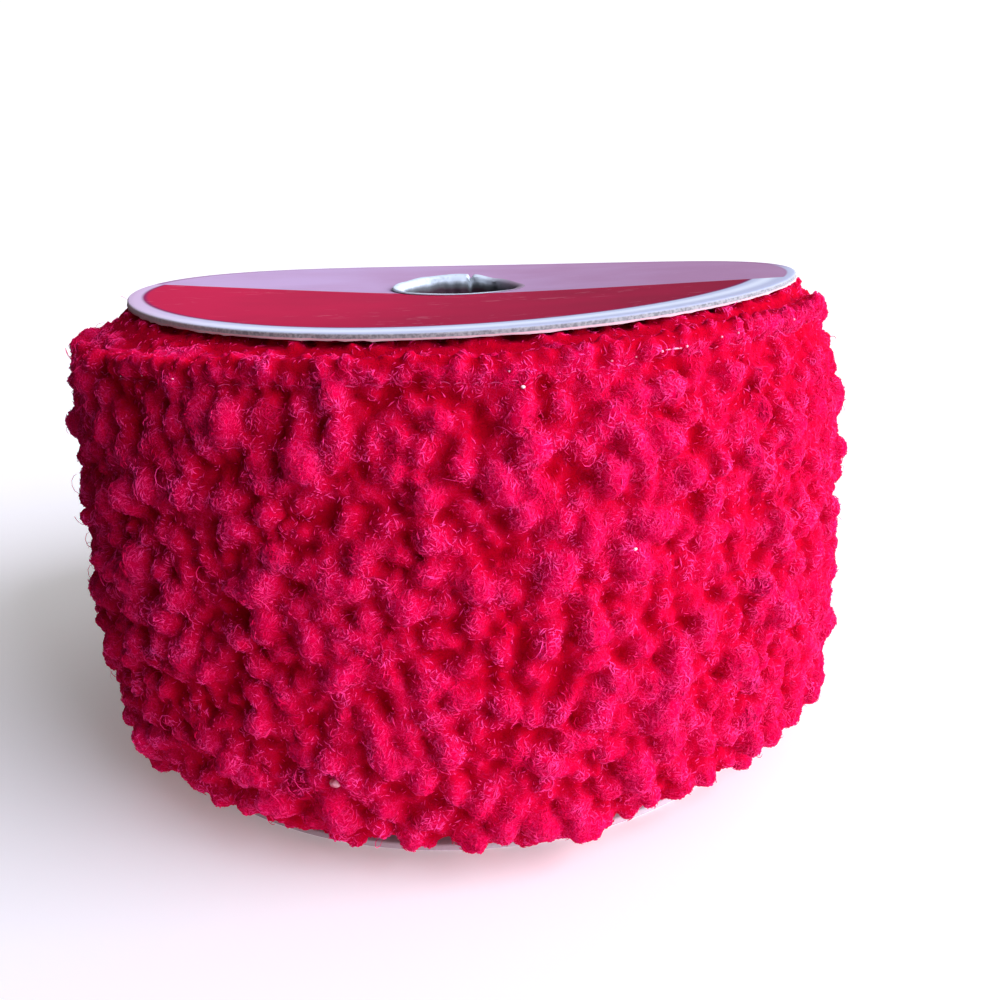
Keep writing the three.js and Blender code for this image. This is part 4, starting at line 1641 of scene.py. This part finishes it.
def core_ring(azimuth):
    """The outline of the tube's wall: up outside, round the lip and down inside."""
    angle = math.radians(azimuth - 90)
    out = Vector((math.cos(angle), math.sin(angle)))
    card = float(card_top(out.x * HOLE_RADIUS, out.y * HOLE_RADIUS))
    crease = math.exp(-(((azimuth - CREASE_AZIMUTH) / CREASE_WIDTH) ** 2))
    wave = noise.noise(Vector((out.x * 2.2, out.y * 2.2, 0.3)))
    curl = max(0.05, lip_at(azimuth, "curl") * (1 + 0.12 * wave) - 0.5 * crease)
    crest = card + lip_at(azimuth, "height") * (1 - 0.55 * crease + 0.12 * wave)
    paper = min(LIP_THICKNESS, max(0.06, lip_at(azimuth, "height") - 0.03))
    neck = min(card + CORE_GAP, crest - paper)
    edge = CORE_RADIUS + curl
    shoulder = (BORE_RADIUS + CORE_RADIUS) / 2
    lip = [
        (CORE_RADIUS, neck), (CORE_RADIUS * 0.4 + edge * 0.6, neck), (edge - 0.12, neck + 0.03),
        (edge, neck * 0.6 + crest * 0.4), (edge - 0.15, neck * 0.15 + crest * 0.85),
        (CORE_RADIUS * 0.55 + edge * 0.45, crest), (CORE_RADIUS * 0.85 + edge * 0.15, crest),
        (shoulder, crest - 0.12), (BORE_RADIUS + 0.12, crest - 0.4),
    ]
    outside = [(CORE_RADIUS, CORE_FOOT), (CORE_RADIUS, 30.0), (CORE_RADIUS, neck - 1.5)]
    inside = []
    for depth in (0.9, 1.5, 2.2, 3.0, 4.0, 5.5, 8.0, 14.0, 30.0):
        fold = noise.noise(Vector((out.x * 3.4, out.y * 3.4, depth * 0.22))) * 0.5
        fine = noise.noise(Vector((out.x * 9, out.y * 9, depth * 0.35))) * 0.22
        loose = max(0.0, 1 - depth / 12)
        inside.append((BORE_RADIUS + min(0.35, (fold + fine) * loose), crest - LIP_THICKNESS * 0.4 - depth))
    inside.append((BORE_RADIUS, CORE_FOOT))
    below = [0.0] * (len(outside) + len(lip)) + [crest - z for _, z in inside]
    return [Vector((out.x * r, out.y * r, z)) * MM for r, z in outside + lip + inside], below


def core_mesh():
    """The rings of the tube's wall, joined all round, with how deep each point is inside the bore."""
    form = bmesh.new()
    rings = []
    depth = []
    for column in range(CORE_COLUMNS):
        points, below = core_ring(-180 + 360 * column / CORE_COLUMNS)
        rings.append([form.verts.new(point) for point in points])
        depth += below
    bridge(form, rings + rings[:1])
    mesh = mesh_of(form, "core_paper", outwards=True)
    mesh.attributes.new("depth", "FLOAT", "POINT").data.foreach_set("value", depth)
    return mesh


core_shape = core_mesh()
print("core_paper:", len(core_shape.polygons), "faces")

# %% [markdown]
# ## The core's paper
# The lip is pale blue-white paper, painted a little darker on its right as painted shade. Inside the bore
# the paper is painted grey and then near black by how deep a point is, as painted shade, with a ragged
# border that a noise pushes about.

# %% Paper material
PAPER_PALE = (0.62, 0.73, 0.82, 1)
PAPER_GREY_AND_SHADE = (0.13, 0.15, 0.16, 1)
# Painted shade: the lip's right side, and the grey and near black inside the bore. The grey also makes the
# paper's specks.
PAPER_PAINTED_SHADE = (0.3, 0.22, 0.3, 1)
BORE_SHADE_DARK = (0.05, 0.022, 0.034, 1)
SHADE_GREY_FROM = 1.1
SHADE_DARK_FROM = 1.9


def paper_material():
    """Pale blue-white paper on the lip, painted darker on its right as painted shade, and painted shade in
    the bore: grey below the lip and near black deeper in.
    """
    material, tree, shader, place = new_material("core_paper_face")
    ragged = calc(tree, "MULTIPLY", calc(tree, "SUBTRACT", cloud(tree, place, 180.0, 4.0), 0.5), 2.2)
    level = calc(tree, "ADD", stored(tree, "depth"), ragged)
    tooth = cloud(tree, place, 1400.0, 4.0)
    speckle = calc(tree, "MULTIPLY", step_at(tree, tooth, 0.62, 0.1), 0.25)
    right = add(tree, "ShaderNodeSeparateXYZ", _0=place).outputs[0]
    # Painted shade: the lip is darker on its right.
    lip = blend(tree, step_at(tree, right, 6.5 * MM, 3 * MM), PAPER_PALE, PAPER_PAINTED_SHADE)
    worn = blend(tree, speckle, lip, PAPER_GREY_AND_SHADE)
    # Painted shade: grey, then near black, deeper in the bore.
    shaded_grey = blend(tree, step_at(tree, level, SHADE_GREY_FROM, 0.5), worn, PAPER_GREY_AND_SHADE)
    colour = blend(tree, step_at(tree, level, SHADE_DARK_FROM, 0.5), shaded_grey, BORE_SHADE_DARK)
    fill(tree, shader, Base_Color=colour, Normal=bump(tree, tooth, 0.4, 0.08), Roughness=0.7,
         Specular_IOR_Level=0.2)
    return material


core = new_piece("core_paper", core_shape, paper_material())
for piece in cards + [core]:
    piece.data.set_sharp_from_angle(angle=math.radians(55))
print("core material:", core.data.materials[0].name)

# %% [markdown]
# ## Hand the pieces to the frame
# Every piece moves with the one body of this part. The pile, its fibres, the backing and the stitches stand
# for the CAD roll, and the finer cards and core for theirs.

# %% Claim the pieces
ribbon_pieces = pile_pieces + fuzz_pieces + [cloth, stitches, glints, white_glints, bead]
for piece in ribbon_pieces:
    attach(piece, "root")
    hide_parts("ribbon_roll")
for piece, node, slot in ((cards[0], "flange_top", "printed_card"), (cards[1], "flange_bottom", "plain_card"),
                          (core, "core_tube", "core_paper")):
    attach(piece, "root")
    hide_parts(node)
print("pieces:", len(ribbon_pieces) + 3)
